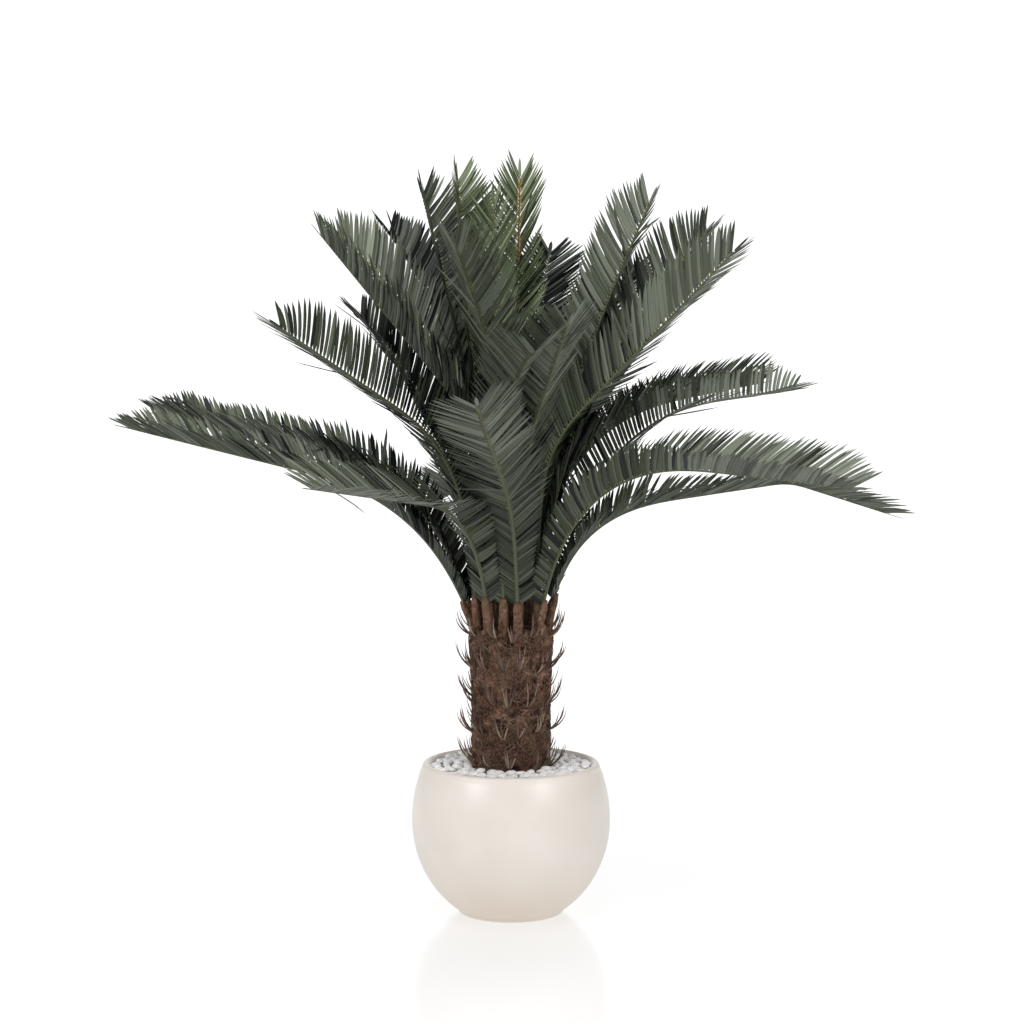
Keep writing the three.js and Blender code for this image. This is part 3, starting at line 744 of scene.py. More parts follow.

# %% [markdown]
# ## How a frond arches
#
# The rib of a frond is a steel wire in a plastic sleeve, bent by hand. It leaves the trunk nearly
# upright and levels out towards its tip. The rule here is the one that the solid model follows: the
# steepness changes smoothly from rise to level between two shares of the length, and the centre line
# is the sum of its directions. Twenty-nine rows of angles then give the whole crown its pose.

# %% The crown
# Angles in degrees, seen from above: 0 is right and 90 is back. seat: place on its ring. heading:
# the way it leans, and sweep: how far that turns. rise: steepness at the foot, and level: at the
# tip. from, to: the share of the length over which it changes. fold: leaflets up from flat. roll: the
# turn about the rib. length: in mm. nod: a sharp turn down near the tip. tint: family of colours.
# The dark family is painted shade: fronds that stand in shade at the back are given near-black tints.
COLUMNS = (
    "name", "seat", "heading", "sweep", "rise", "level", "from", "to", "fold", "roll", "length",
    "nod", "tint",
)
FRONDS = {
    "inner": [
        ("top_centre", 80, 77, 0, 88, 82, 0.2, 1, 50, -9, 712, 0, "fresh"),
        ("top_left", 190, 160, 0, 83, 86, 0.35, 1, 30, 10, 706, 0, "fresh"),
        ("top_right", 0, 19, 0, 79, 65, 0, 1, 35, 62, 706, 0, "light"),
        ("top_front", 278, 225, 0, 88, 84, 0.2, 1, 62, -45, 665, 0, "fresh"),
    ],
    "middle": [
        ("upright_front_left", 255, 256, 0, 86, 36, 0.25, 0.85, 52, 2, 716, 0, "grey"),
        ("upright_front_right", 290, 279, 0, 84, 28, 0.12, 0.62, 40, -10, 708, 0, "grey"),
        ("upright_back", 78, 79, 0, 83, 40, 0.1, 0.95, 24, -10, 695, 0, "dark"),
        ("upright_back_right", 48, 59, 0, 82, 38, 0, 0.9, 30, -5, 697, 0, "dark"),
        ("upright_back_left", 138, 142, 0, 85, 72, 0.15, 0.75, 45, 5, 703, 0, "deep"),
        ("high_left_front", 220, 208, 0, 86, 48, 0.24, 0.64, 30, 24, 706, 0, "deep"),
        ("high_left_back", 166, 160, 0, 88, 44, 0.12, 0.95, 34, 22, 700, 0, "deep"),
        ("high_right_front", 340, 348, 0, 86, 46, 0.25, 0.55, 34, 42, 705, 0, "light"),
        ("high_right_back", 15, 14, 14, 82, 46, 0, 1, 45, -25, 707, 0, "deep"),
        ("high_back", 108, 134, 0, 83, 44, 0.22, 0.92, 35, -5, 710, 0, "dark"),
    ],
    "outer": [
        ("mid_left_front", 205, 229, 0, 81, 27, 0.15, 0.65, 39, -21, 693, 0, "deep"),
        ("mid_left_back", 140, 127, -12, 74, 21, 0, 1, 58, 12, 688, 0, "dark"),
        ("mid_back", 107, 101, 0, 80, 24, 0, 1, 42, 0, 700, 0, "deep"),
        ("mid_front", 257, 271, 8, 83, 8, 0, 1, 42, 0, 700, 0, "grey"),
        ("mid_right_back", 47, 45, 0, 80, 42, 0, 0.7, 45, 0, 697, 0, "dark"),
        ("mid_right", 22, 39, -8, 68, 5, 0.12, 0.83, 30, -14, 700, 0, "light"),
        ("low_left", 180, 180, -10, 67, 13, 0, 0.62, 33, 5, 675, 0, "deep"),
        ("low_front_left", 232, 245, 0, 78, 8, 0, 0.52, 25, 17, 680, 0, "grey"),
        ("low_front", 282, 264, 0, 76, 22, 0, 0.5, 24, -14, 700, 0, "grey"),
        ("low_front_right", 318, 324, -4, 77, -3, 0, 0.7, 44, -12, 708, 0, "light"),
        ("low_right", 355, 6, -3, 78, 8, 0, 0.5, 24, 0, 664, -26, "light"),
        ("low_back_right", 67, 43, -7, 79, 7, 0, 0.8, 42, 16, 716, 0, "deep"),
        ("low_back", 87, 88, 0, 80, 5, 0, 0.6, 42, 0, 700, 0, "deep"),
        ("low_back_left", 124, 100, 0, 77, -10, 0, 0.6, 42, 0, 692, 0, "deep"),
        ("low_left_back", 160, 160, 0, 71, 12, 0, 0.63, 42, 0, 694, 0, "deep"),
    ],
}
crown = [
    {"ring": ring, **dict(zip(COLUMNS, row))} for ring, rows in FRONDS.items() for row in rows
]
print(len(crown), "fronds,", {ring: len(rows) for ring, rows in FRONDS.items()})

# %% The line of a rib
RING_RADIUS = {"outer": 54 * MM, "middle": 34 * MM, "inner": 13 * MM}
NOD_FROM, NOD_OVER = 0.7, 0.1  # shares of the length
ROLL_OVER = 0.45
RIB_STEPS = 240


def directions(frond, share):
    """Three unit vectors at each share of the length: along the rib, up from its face, and left.
    With climb c and heading h, along is (cos c cos h, cos c sin h, sin c), and up is the same with
    the climb turned on by a right angle. Roll turns up about the rib, and left is the cross product
    of up and along."""
    change = smooth((share - frond["from"]) / (frond["to"] - frond["from"]))
    nod = frond["nod"] * smooth((share - NOD_FROM) / NOD_OVER)
    climb = np.radians(frond["rise"] + (frond["level"] - frond["rise"]) * change + nod)
    heading = np.radians(frond["heading"] + frond["sweep"] * share)
    c, s = np.cos(climb), np.sin(climb)
    along = np.stack([c * np.cos(heading), c * np.sin(heading), s], axis=-1)
    up = np.stack([-s * np.cos(heading), -s * np.sin(heading), c], axis=-1)
    roll = np.radians(frond["roll"]) * smooth(share / ROLL_OVER)[..., None]
    up = up * np.cos(roll) + np.cross(up, along) * np.sin(roll)
    return along, up, np.cross(up, along)


def rib_line(frond, shares):
    """Points of the rib: directions at the middle of fine steps, summed from the seat, and read off
    at the shares asked for."""
    along = directions(frond, (np.arange(RIB_STEPS) + 0.5) / RIB_STEPS)[0]
    seat = math.radians(frond["seat"])
    radius = RING_RADIUS[frond["ring"]]
    start = np.array([radius * math.cos(seat), radius * math.sin(seat), TRUNK_TOP])
    line = np.concatenate([[start], start + np.cumsum(along, axis=0) * frond["length"] * MM / RIB_STEPS])
    places = np.linspace(0, 1, RIB_STEPS + 1)
    return np.stack([np.interp(shares, places, line[:, i]) for i in range(3)], axis=-1)


tip_heights = np.array([rib_line(frond, np.ones(1))[0, 2] for frond in crown])
print("the tips of the ribs stand", tip_heights.min().round(3), "to", tip_heights.max().round(3), "m high")

# %% [markdown]
# ## Ribs and their wrapped feet
#
# Each rib is grooved on top and round below, and tapers from 6 mm to 2 mm. Its foot is wrapped in the
# same coir as the trunk, as thick as a finger. It could be a bevelled curve, but that has the same
# section all along, so a section of twelve points is carried along the centre line of each frond and
# scaled on the way. The wrapping is a second, wider tube over the foot, with its felt worked into it.

# %% Ribs
RIB_STATIONS = 64
RIB_FROM, RIB_TO = 0.03, 0.995  # shares of the length
LEAF_START = 45 * MM
# across and down, as shares of width and depth: a grooved top and a rounded keel
RIB_SECTION = np.array([
    [0.18, 0.14], [0.36, 0.0], [0.5, 0.12], [0.5, 0.45], [0.36, 0.8], [0.14, 1.0],
    [-0.14, 1.0], [-0.36, 0.8], [-0.5, 0.45], [-0.5, 0.12], [-0.36, 0.0], [-0.18, 0.14],
])


def rib_size(distance, length):
    """Width and depth in metres: 8 by 7 mm in the stalk, 6 by 4.4 mm at the first leaflets, and
    from there straight down to 2 by 1.6 mm."""
    share = np.clip((distance - LEAF_START) / (length - LEAF_START), 0, 1)
    stalk = smooth((LEAF_START - distance) / (14 * MM))
    return (6 - 4 * share + 2 * stalk) * MM, (4.4 - 2.8 * share + 2.6 * stalk) * MM


def rib_points(frond):
    """The section scaled to the rib's size at each station and laid across its vectors."""
    shares = np.linspace(RIB_FROM, RIB_TO, RIB_STATIONS)
    centre = rib_line(frond, shares)
    along, up, left = directions(frond, shares)
    width, depth = rib_size(shares * frond["length"] * MM, frond["length"] * MM)
    across = left[:, None, :] * (RIB_SECTION[:, 0] * width[:, None])[..., None]
    down = up[:, None, :] * (RIB_SECTION[:, 1] * depth[:, None])[..., None]
    return centre[:, None, :] + across - down


def rib_finish(name, colour):
    """Plain colour, with a gloss that varies along the rib and a fine bump."""
    rib = new_finish(name, colour, 0.5, specular=0.4)
    set_by(rib, "Roughness", spread(rib, noise(rib, 120, 4), 0.38, 0.66))
    roughen(rib, noise(rib, 300, 3), 0.3 * MM, 0.3)
    return rib


# %% All ribs in one piece
rib_grid = np.stack([rib_points(frond) for frond in crown])
rib_counts = (len(crown), RIB_STATIONS, len(RIB_SECTION))
frond_ribs = add_piece(
    "frond_ribs",
    rib_grid,
    [tube_faces(*rib_counts)[:, ::-1], tube_ends(*rib_counts)[:, ::-1]],
    rib_finish("rib_green", (0.070, 0.085, 0.045)),
)
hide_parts(*[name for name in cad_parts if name.startswith("frond_")])

# %% Wrapped feet
WRAP_SIDES, WRAP_STATIONS = 28, 34
WRAP_SPACING = (1.6 * MM, 1.4 * MM)
WRAP_LENGTH = 53 * MM
WRAP_VARIES = (-4, 7)  # mm, from the shortest to the longest
WRAP_SUNK = 16 * MM  # how far down in the trunk a wrap starts
WRAP_DROP = 4 * MM  # of its middle below the top of the rib
# in mm: the size from halfway up, what the foot is wider by, and what the end is narrower by
WRAP_WIDTH = (13.5, 5, 4.8)
WRAP_DEPTH = (12, 4, 4.4)


def wrap_size(measures, at_foot, at_end):
    """The main size, plus the foot's share of the one measure, less the end's share of the other."""
    main, wider, narrower = measures
    return (main + wider * at_foot - narrower * at_end) * MM


def wrap_points(frond, random):
    """A round tube over the foot of the stalk. It starts sunk in the trunk, narrows until halfway
    up, and closes on to the stalk over its last fifth. Its width and depth are multiplied by 1 plus
    0.05 times the felt. Its relief is lower towards the foot, which paints shade where the wrap meets
    the trunk."""
    t = np.linspace(0, 1, WRAP_STATIONS)
    shares = t * (WRAP_LENGTH + frond["wrap"]) / (frond["length"] * MM)
    centre = rib_line(frond, shares)
    along, up, left = directions(frond, shares)
    centre = centre - along * WRAP_SUNK * (1 - t[:, None])
    at_foot = 1 - smooth(t / 0.55)
    at_end = smooth((t - 0.8) / 0.2)
    width = wrap_size(WRAP_WIDTH, at_foot, at_end)
    depth = wrap_size(WRAP_DEPTH, at_foot, at_end)
    angle = np.linspace(0, 2 * math.pi, WRAP_SIDES, endpoint=False)
    mat = felt((WRAP_STATIONS, WRAP_SIDES), WRAP_SPACING, random, 1.1 * MM, 6 * MM, directions=4)
    # painted shade: the relief, and so the colour, is darker towards the wrap's foot at the trunk
    frond["relief"] = 0.68 + 0.13 * mat - 0.4 * at_foot[:, None]
    swell = 1 + 0.05 * mat
    across = left[:, None, :] * (np.cos(angle) * width[:, None] / 2 * swell)[..., None]
    upward = up[:, None, :] * (np.sin(angle) * depth[:, None] / 2 * swell)[..., None]
    return centre[:, None, :] - up[:, None, :] * WRAP_DROP + across + upward


# %% All wraps in one piece
wrap_random = np.random.default_rng(3)
for frond in crown:
    frond["wrap"] = wrap_random.uniform(*WRAP_VARIES) * MM
wrap_grid = np.stack([wrap_points(frond, wrap_random) for frond in crown])
wrap_counts = (len(crown), WRAP_STATIONS, WRAP_SIDES)
stalk_wraps = add_piece(
    "stalk_wraps",
    wrap_grid,
    [tube_faces(*wrap_counts)[:, ::-1], tube_ends(*wrap_counts)[:, ::-1]],
    coir,
)
give_relief(stalk_wraps, np.stack([frond["relief"] for frond in crown]))

# %% [markdown]
# ## Leaflets
#
# A leaflet is a stamped blade of stiff fabric, about 86 mm long and 6 mm wide, with a crease down its
# middle and a taper to a fine point. They stand in two rows along the rib, folded up like a V,
# and lean towards its tip. Each is as wide as the space between two, and turned a little about its own
# length like a slat of a blind, so that a row is closed like a feather and no two blades cut through
# each other. A closed blade of 22 quads is enough for each, since there are thousands. Copies of one
# blade would be less work, but what makes a frond look real is how its leaflets differ: they stick
# together in bunches of three to seven, whose tips crowd, the rows open between the bunches, and a
# few blades stand out of line. So every blade is worked out by itself, a whole row at once.

# %% The shape of one leaflet
BLADE_SHARES = np.array([0, 0.1, 0.35, 0.6, 0.82, 1.0])  # stations, from the foot to the point
LEAFLET_PITCH = 5.6 * MM
# by ring: the width, and the angle to the rib at the frond's foot and tip, in degrees
LEAFLET_WIDTH = {"inner": 5.7 * MM, "middle": 5.8 * MM, "outer": 6.0 * MM}
LEAFLET_LEAN = {"inner": (59, 54), "middle": (60, 54), "outer": (63, 55)}
BROADER = 1.3  # what the width of the dark fronds' leaflets is multiplied by
# fronds of a looser make, whose leaflets stand further apart, so that light shows between them
LOOSE_FRONDS, LOOSE_PITCH = ("mid_left_front", "mid_right"), 7.8 * MM


def blade_width(t):
    """Share of the full width along a blade: 0.55 at its foot, full from an eighth on, and all of
    it times 1 minus 0.9 t to the power 6, which gives the point."""
    return (0.55 + 0.45 * smooth(t / 0.12)) * (1 - 0.9 * t**6)


def leaflet_length(share):
    """34 mm up to an eighth of the frond, 86 mm from two fifths on, and down to 50 mm over the last
    ninth."""
    grown = 52 * smooth((share - 0.13) / 0.26)
    shrunk = 36 * smooth((share - 0.89) / 0.11)
    return (34 + grown - shrunk) * MM


def leaflet_lean(ring, share):
    """Angle to the rib, in degrees: from the ring's two angles, less 14 over the last tenth."""
    at_foot, at_tip = LEAFLET_LEAN[ring]
    return at_foot + (at_tip - at_foot) * share - 14 * smooth((share - 0.9) / 0.1)


print("halfway up a frond, a leaflet is", (leaflet_length(0.5) / MM).round(), "mm long")

# %% Bunches along a row
def drift(count, over, random):
    """A slow random wave along a row of leaflets, with a spread of 1: white noise blurred over a
    number of neighbours."""
    reach = np.arange(-3 * over, 3 * over + 1)
    kernel = np.exp(-0.5 * (reach / over) ** 2)
    wave = np.convolve(random.normal(size=count + 6 * over), kernel, mode="valid")
    return wave / math.sqrt((kernel**2).sum())


def bunches(count, random):
    """Parts a row into bunches of three to seven. Gives each leaflet the number of its bunch and its
    place in it, counted from the middle."""
    ends = np.cumsum(random.integers(3, 8, count))
    bunch = np.searchsorted(ends, np.arange(count), side="right")
    first = np.concatenate([[0], ends])[bunch]
    return bunch, np.arange(count) - (first + ends[bunch] - 1) / 2


# %% Blades in their places
ROOT_OUT, ROOT_DOWN = 0.36, 0.3  # where a blade starts, as shares of the rib's width and depth
NARROWER, NARROWER_FROM = 0.12, 0.85  # how much narrower at the frond's tip, and from which share on
BLADE_THICK, BLADE_THINNED = 0.7, 0.4  # mm at the foot, and how much less at the point
CREASE = 0.3  # depth as a share of half the width


def blades_on(frond, side, share, lean, fold, spans, twist):
    """Blades as an array of leaflet by station by 4 points: left edge, crease, right edge and
    underside. A blade's direction is along times cos(lean) plus sideways times sin(lean), where
    sideways is out of the rib turned up by the fold. Lean and fold are given for each leaflet and
    station, and the centre line is the sum of the directions."""
    t = BLADE_SHARES[None, :]
    along, up, left = directions(frond, share)
    out_of_rib = left * side
    width, depth = rib_size(share * frond["length"] * MM, frond["length"] * MM)
    root = rib_line(frond, share) + out_of_rib * (ROOT_OUT * width)[:, None]
    root = root - up * (ROOT_DOWN * depth)[:, None]

    along, up, out_of_rib, root = (v[:, None, :] for v in (along, up, out_of_rib, root))
    sideways = out_of_rib * np.cos(fold)[..., None] + up * np.sin(fold)[..., None]
    way = along * np.cos(lean)[..., None] + sideways * np.sin(lean)[..., None]
    steps = (way[:, 1:] + way[:, :-1]) / 2 * np.diff(t)[..., None] * spans[:, None, None]
    centre = root + np.concatenate([np.zeros_like(root), np.cumsum(steps, axis=1)], axis=1)

    face = unit(np.cross(along, sideways)) * side
    flat = unit(np.cross(face, way)) * side
    face = unit(np.cross(way, flat)) * side
    turn = twist[:, None, None]
    across = flat * np.cos(turn) + face * np.sin(turn)
    top = face * np.cos(turn) - flat * np.sin(turn)

    full = LEAFLET_WIDTH[frond["ring"]] * (BROADER if frond["tint"] == "dark" else 1)
    full = full * (1 - NARROWER * smooth((share - NARROWER_FROM) / (1 - NARROWER_FROM)))
    half = full[:, None, None] / 2 * blade_width(t)[..., None]
    thick = (BLADE_THICK - BLADE_THINNED * t)[..., None] * MM
    crease = CREASE * half
    return np.stack([
        centre + across * half,
        centre + top * (thick / 2 - crease),
        centre - across * half,
        centre - top * (thick / 2 + crease),
    ], axis=2)


# %% Rows of leaflets
STRAY_SHARE = 0.04  # of the leaflets, which stand out of line
TIGHT_SHARE = 0.14  # of the bunches, which close up firmly and leave a wide gap beside them
# degrees of lean that each leaflet has more than the one before it in its bunch
TIGHT_BUNCHING, EASY_BUNCHING = (0.7, 1.3), (0, 0.25)
# spreads in degrees: of the slow drift along a row, from leaflet to leaflet, and of the strays
LEAN_DRIFT, LEAN_VARIES, LEAN_STRAYS = 2, 0.8, 6
FOLD_DRIFT, FOLD_VARIES, FOLD_STRAYS = 3.5, 1.6, 13
STRAYS_SINK = 4
# degrees that a blade turns towards the frond's tip and sinks by, up to its point, and their spread
CURL, DROOP, CURL_VARIES = 9, 4, 3
PLACE_VARIES, LENGTH_VARIES = 0.0009, 0.035  # shares of the frond's and of the leaflet's length
SLAT_TURN, SLAT_VARIES = 5, 5  # degrees about a blade's own length
LAST_SHARE = 0.998


def leaflet_row(frond, side, random):
    """The blades of one row, their shares of the frond's length and the number of the bunch that
    each is in. Within a bunch the lean grows from one leaflet to the next, which brings the tips
    together. Lean and fold are the frond's own, plus drift, variation and strays, less what curl
    and droop take off along the blade."""
    t = BLADE_SHARES[None, :]
    length = frond["length"] * MM
    pitch = LOOSE_PITCH if frond["name"] in LOOSE_FRONDS else LEAFLET_PITCH
    count = int((length - LEAF_START) / pitch)
    share = (LEAF_START + (np.arange(count) + 0.5 + 0.25 * side) * pitch) / length
    share = np.minimum(share + random.normal(0, PLACE_VARIES, count), LAST_SHARE)
    bunch, place = bunches(count, random)
    tight = random.uniform(size=bunch.max() + 1) < TIGHT_SHARE
    firm = random.uniform(*TIGHT_BUNCHING, len(tight))
    easy = random.uniform(*EASY_BUNCHING, len(tight))
    bunching = np.where(tight, firm, easy)
    stray = random.uniform(size=count) < STRAY_SHARE
    lean = leaflet_lean(frond["ring"], share) + bunching[bunch] * place
    lean = lean + LEAN_DRIFT * drift(count, 8, random)
    lean = lean + random.normal(0, LEAN_VARIES, count) + stray * random.normal(0, LEAN_STRAYS, count)
    lean = lean[:, None] - (CURL + CURL_VARIES * drift(count, 3, random))[:, None] * t
    fold = frond["fold"] + FOLD_DRIFT * drift(count, 6, random) + random.normal(0, FOLD_VARIES, count)
    fold = fold + stray * random.normal(-STRAYS_SINK, FOLD_STRAYS, count)
    fold = fold[:, None] - (DROOP + CURL_VARIES * drift(count, 3, random))[:, None] * t
    spans = leaflet_length(share) * (1 + random.normal(0, LENGTH_VARIES, count))
    twist = np.radians(SLAT_TURN + random.normal(0, SLAT_VARIES, count))
    blades = blades_on(frond, side, share, np.radians(lean), np.radians(fold), spans, twist)
    return blades, share, bunch


# %% The blade at the end
END_LEAFLET_LENGTH = 30 * MM
END_LEAFLET_SHARE = 0.997
END_LEAFLET_LEAN = 0.03  # radians


def end_leaflet(frond):
    """The single blade that goes on from the end of the rib, almost straight."""
    level = np.zeros((1, len(BLADE_SHARES)))
    share = np.array([END_LEAFLET_SHARE])
    span = np.array([END_LEAFLET_LENGTH])
    return blades_on(frond, 1, share, level + END_LEAFLET_LEAN, level, span, np.zeros(1))


# %% [markdown]
# ### Tints
#
# The fabric is printed in greys and greens that differ from frond to frond and a little from leaflet
# to leaflet. Each tint is one plain colour and one piece, so that it lands exactly where it belongs.
# Every frond has a family of tints for its lower part, and all but the darkest have another for the
# tip, where the newest fronds are a fresher green. The lower families are darker, partly print and
# partly painted shade deep in the crown. The darkest family and the shadow tint are painted shade:
# near-black colour on the fronds that stand in shade at the back. Each bunch of leaflets draws one
# tint, and two leaflets in three draw their own, which gives a frond its fine streaks, partly
# painted light and shade that fall from leaflet to leaflet.

# %% Leaf tints
TINTS = {
    # painted shade: the darkest tint stands in for the shade inside the crown
    "shadow": (0.005, 0.006, 0.006),
    "slate": (0.015, 0.018, 0.014),
    "deep": (0.030, 0.037, 0.023),
    "moss": (0.036, 0.050, 0.022),
    "grey": (0.073, 0.083, 0.058),
    "silver": (0.138, 0.157, 0.118),
    "fresh": (0.080, 0.106, 0.050),
    "pale": (0.160, 0.193, 0.112),
}
LEAF_SPECULAR = 0.32
# the two darkest tints carry most of the painted shade and are kept matt
MATT_SPECULAR = {"shadow": 0.03, "slate": 0.16}
# shares of the tints in each family
FAMILIES = {
    # dark: painted shade, near black, for the fronds in shade at the back of the crown. The lower families
    # hold painted shade deep in the crown as well as the print.
    "dark": {"shadow": 0.42, "slate": 0.38, "deep": 0.20},
    "deep": {"shadow": 0.14, "slate": 0.30, "deep": 0.32, "moss": 0.12, "grey": 0.12},
    "deep_tip": {"slate": 0.14, "deep": 0.30, "moss": 0.20, "grey": 0.28, "silver": 0.08},
    "grey": {"shadow": 0.05, "slate": 0.20, "deep": 0.30, "moss": 0.10, "grey": 0.35},
    "grey_tip": {"deep": 0.14, "grey": 0.44, "silver": 0.42},
    "light": {"slate": 0.15, "deep": 0.25, "moss": 0.15, "grey": 0.45},
    "light_tip": {"deep": 0.08, "grey": 0.34, "silver": 0.58},
    "fresh": {"shadow": 0.42, "slate": 0.30, "moss": 0.28},
    "fresh_tip": {"moss": 0.16, "fresh": 0.36, "pale": 0.48},
}
OWN_TINT = 0.68  # share of the leaflets that don't follow their bunch
TIP_FROM, TIP_OVER = 0.45, 0.35  # shares of the length over which the tip's family takes over
print(len(TINTS), "tints in", len(FAMILIES), "families")

# %% Printed fabric
def leaf_finish(tint, colour):
    """Plain colour with the weave's fine bump and a gloss that varies in patches. The two darkest
    tints, which carry most of the painted shade, are matt, so that they catch no reflections."""
    specular = MATT_SPECULAR.get(tint, LEAF_SPECULAR)
    leaf = new_finish("leaf_" + tint, colour, 0.5, specular=specular)
    set_by(leaf, "Roughness", spread(leaf, noise(leaf, 60, 4), 0.36, 0.68))
    roughen(leaf, noise(leaf, 900, 2), 0.25 * MM, 0.35)
    return leaf


# %% Drawing the tints
def draw_tints(family, share, bunch, random):
    """A tint for each leaflet. One leaflet in three takes the draw of its bunch. The chance that a
    leaflet draws from the tip's family grows from 0 to 1 along the frond. A family with no tints
    of its own for the tip goes on to the end."""
    def draw(mix):
        """One tint for each leaflet, by the shares of one family."""
        names, weights = list(mix), list(mix.values())
        of_bunch = random.choice(names, size=bunch.max() + 1, p=weights)[bunch]
        own = random.choice(names, size=len(share), p=weights)
        return np.where(random.uniform(size=len(share)) < OWN_TINT, own, of_bunch)

    lower = FAMILIES[family]
    upper = FAMILIES.get(family + "_tip", lower)
    at_tip = random.uniform(size=len(share)) < smooth((share - TIP_FROM) / TIP_OVER)
    return np.where(at_tip, draw(upper), draw(lower))


# %% All leaflets
leaf_random = np.random.default_rng(29)
blades = {tint: [] for tint in TINTS}
for frond in crown:
    for side in (1, -1):
        row, share, bunch = leaflet_row(frond, side, leaf_random)
        frond["roots", side] = row[:, :2].mean(axis=2)
        drawn = draw_tints(frond["tint"], share, bunch, leaf_random)
        for tint in TINTS:
            blades[tint].append(row[drawn == tint])
    blades[drawn[-1]].append(end_leaflet(frond))

for tint, colour in TINTS.items():
    grid = np.concatenate(blades[tint])
    faces = [tube_faces(*grid.shape[:3]), tube_ends(*grid.shape[:3])]
    leaflets = add_piece("leaflets_" + tint, grid, faces, leaf_finish(tint, colour), rounded=False)
print(sum(len(row) for rows in blades.values() for row in rows), "leaflets")

# %% [markdown]
# ### Feet of the leaflets
#
# Each leaflet is stuck to the rib by a small moulded foot. Most feet are olive, and about one in three
# is a clear yellow-green, which draws a broken dotted line along the rib. Those near the tip of the
# newest frond are amber, and those of the darkest fronds are nearly black, painted shade like their
# fronds. A foot could be painted on the blade, but it stands proud of the rib, so it is a short
# tapered tube from the rib to the blade.

# %% Feet
FEET = {
    "amber": (0.50, 0.25, 0.040),
    "lime": (0.165, 0.165, 0.055),
    "olive": (0.075, 0.078, 0.040),
    # painted shade: the feet on the darkest fronds
    "black": (0.020, 0.022, 0.018),
}
LIME_SHARE = {"fresh": 0.45, "deep": 0.4, "light": 0.45, "grey": 0.2, "dark": 0}
NEWEST_FROND, AMBER_FROM = "top_centre", 0.80
FOOT_STATIONS = np.array([-0.12, 0.3, 0.75])  # shares of the way from a blade's root to its next station
FOOT_RADII = np.array([1.5, 1.3, 0.6]) * MM
FOOT_FLAT = 0.75  # depth as a share of the width


def foot_kinds(frond, count, random):
    """The kind of each foot in a row: black on a dark frond, where it is painted shade, and else lime
    or olive by chance, with amber near the tip of the newest frond."""
    lime = random.uniform(size=count) < LIME_SHARE[frond["tint"]]
    kinds = np.where(lime, "lime", "black" if frond["tint"] == "dark" else "olive")
    amber = (np.linspace(0, 1, count) > AMBER_FROM) & (frond["name"] == NEWEST_FROND)
    return np.where(amber, "amber", kinds)


# %% All feet
feet_random = np.random.default_rng(17)
feet = {kind: [] for kind in FEET}
for frond in crown:
    for side in (1, -1):
        root, after = frond["roots", side][:, 0], frond["roots", side][:, 1]
        path = root[:, None] + (after - root)[:, None] * FOOT_STATIONS[None, :, None]
        kinds = foot_kinds(frond, len(path), feet_random)
        for kind in FEET:
            feet[kind].append(path[kinds == kind])
for kind, colour in FEET.items():
    paths = np.concatenate(feet[kind])
    radii = np.tile(FOOT_RADII, (len(paths), 1))
    made = add_tubes("feet_" + kind, paths, radii, 4, rib_finish("foot_" + kind, colour), FOOT_FLAT)

# %% [markdown]
# ## Floor, light and camera
#
# A white floor under soft light from all sides, with two large lamps in front and one above, shows
# the plant as in a catalogue. The camera stands four metres away, one metre above the floor, and
# looks slightly down through a long lens, which keeps the plant's proportions.

# %% Floor
FLOOR_HALF = 30
FLOOR_GLOW = 0.58  # light that the floor gives off by itself, so that it stays white in the shade


def floor_finish():
    """White that mirrors the pot faintly."""
    white = new_finish("white_floor", (0.26, 0.26, 0.26), 0.2)
    set_by(white, "Roughness", spread(white, noise(white, 6, 3), 0.16, 0.22))
    shader = white.node_tree.nodes["Principled BSDF"]
    shader.inputs["Emission Color"].default_value = (1, 1, 1, 1)
    shader.inputs["Emission Strength"].default_value = FLOOR_GLOW
    return white


floor_mesh = bpy.data.meshes.new("floor")
floor_corners = [(x * FLOOR_HALF, y * FLOOR_HALF, 0) for x, y in ((-1, -1), (1, -1), (1, 1), (-1, 1))]
floor_mesh.from_pydata(floor_corners, [], [(0, 1, 2, 3)])
floor_mesh.materials.append(floor_finish())
floor = bpy.data.objects.new("floor", floor_mesh)
bpy.context.scene.collection.objects.link(floor)
print("the floor reaches", FLOOR_HALF, "m to each side")

# %% Lamps
LOOKED_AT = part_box("trunk")[1]  # beside the top of the trunk, near the middle of the plant


def add_lamp(name, place, size, power):
    """A square lamp that faces the top of the trunk. Size in metres, power in watts."""
    lamp = bpy.data.lights.new(name, "AREA")
    lamp.size = size
    lamp.energy = power
    lit = bpy.data.objects.new(name, lamp)
    lit.location = place
    lit.rotation_euler = (LOOKED_AT - lit.location).to_track_quat("-Z", "Y").to_euler()
    bpy.context.scene.collection.objects.link(lit)
    print(name, "is", round((LOOKED_AT - lit.location).length, 2), "m from the trunk")


add_lamp("left_softbox", (-2.2, -2.1, 1.9), 1.1, 31)
add_lamp("right_softbox", (1.9, -2.2, 1.8), 1.1, 28)
add_lamp("top_softbox", (-0.3, -0.7, 3.2), 1.5, 80)

# %% The room
ROOM_WHITE, ROOM_GREY = 1.15, 0.42  # strengths
WALL_EDGE = (0.90, 0.95)  # the y part of the direction at which grey begins and ends to turn white


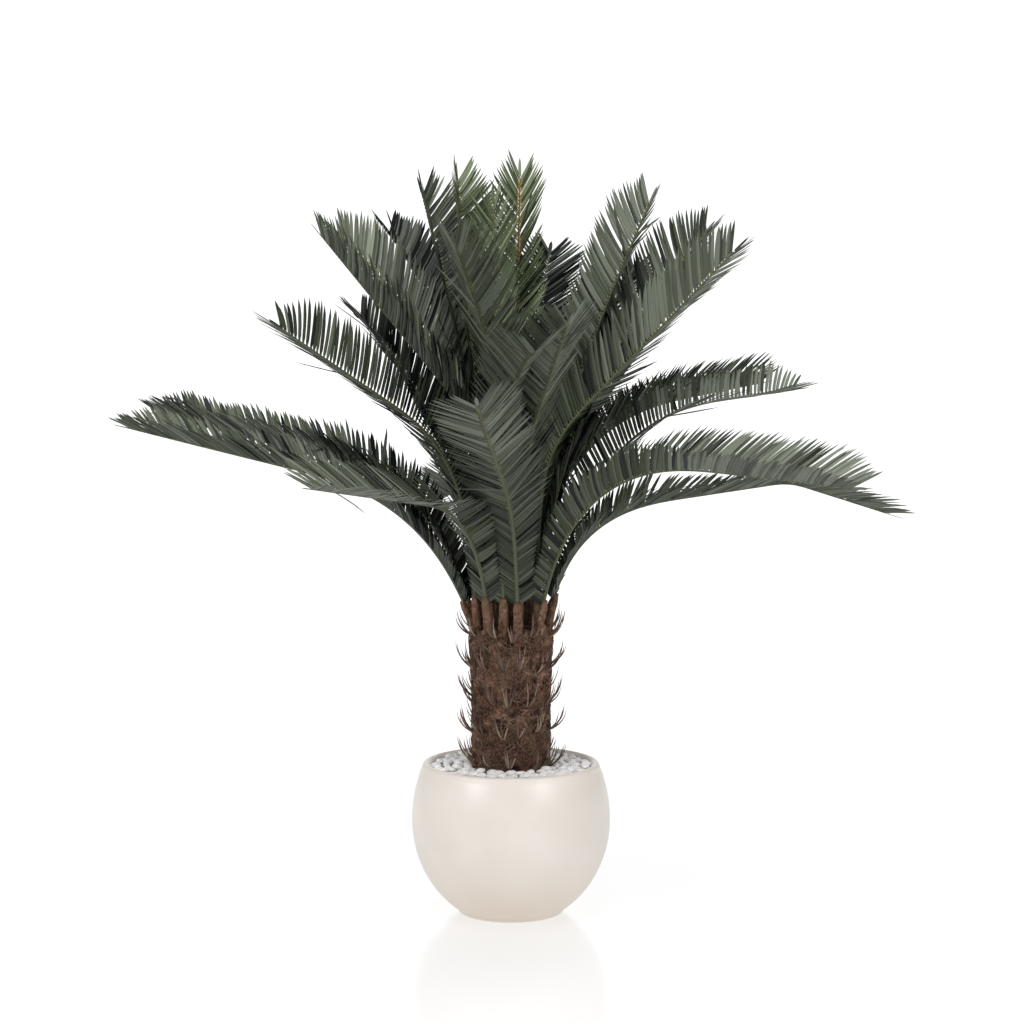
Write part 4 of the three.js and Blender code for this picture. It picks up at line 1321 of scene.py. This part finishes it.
def white_room():
    """A room whose wall behind the plant is white and whose other walls light it as a soft grey:
    the strength goes from grey to white where the y part of the direction passes the wall's edge.
    All walls look white to the eye, which sees the larger of that strength and white."""
    world = bpy.data.worlds.new("white_room")
    world.use_nodes = True
    direction = node(world, "ShaderNodeTexCoord")
    parts = node(world, "ShaderNodeSeparateXYZ")
    link(world, direction.outputs["Generated"], parts.inputs["Vector"])
    wall = node(world, "ShaderNodeMapRange")
    wall.inputs["From Min"].default_value, wall.inputs["From Max"].default_value = WALL_EDGE
    wall.inputs["To Min"].default_value = ROOM_GREY
    wall.inputs["To Max"].default_value = ROOM_WHITE
    link(world, parts.outputs["Y"], wall.inputs["Value"])
    sight = node(world, "ShaderNodeLightPath")
    seen = spread(world, sight.outputs["Is Camera Ray"], 0, ROOM_WHITE)
    brighter = node(world, "ShaderNodeMath")
    brighter.operation = "MAXIMUM"
    link(world, wall.outputs["Result"], brighter.inputs[0])
    link(world, seen, brighter.inputs[1])
    background = world.node_tree.nodes["Background"]
    background.inputs["Color"].default_value = (1, 1, 1, 1)
    link(world, brighter.outputs["Value"], background.inputs["Strength"])
    return world


bpy.context.scene.world = white_room()
bpy.context.scene.view_settings.view_transform = "Standard"
print("the room's walls are", ROOM_WHITE, "behind the plant and", ROOM_GREY, "round it")

# %% Camera
CAMERA_DISTANCE = 4.0
CAMERA_HEIGHT = 1.0
CAMERA_ASIDE = 1.6 * MM
LOOKING_DOWN = 5.2  # degrees
SENSOR_WIDTH, FOCAL_LENGTH = 36, 90.14  # mm
camera_data = bpy.data.cameras.new("camera")
camera_data.sensor_width = SENSOR_WIDTH
camera_data.lens = FOCAL_LENGTH
camera = bpy.data.objects.new("camera", camera_data)
camera.location = (CAMERA_ASIDE, -CAMERA_DISTANCE, CAMERA_HEIGHT)
camera.rotation_euler = (math.radians(90 - LOOKING_DOWN), 0, 0)
bpy.context.scene.collection.objects.link(camera)
bpy.context.scene.camera = camera
shown_width = CAMERA_DISTANCE * SENSOR_WIDTH / FOCAL_LENGTH
print("the camera sees", round(shown_width, 2), "m across at the plant")
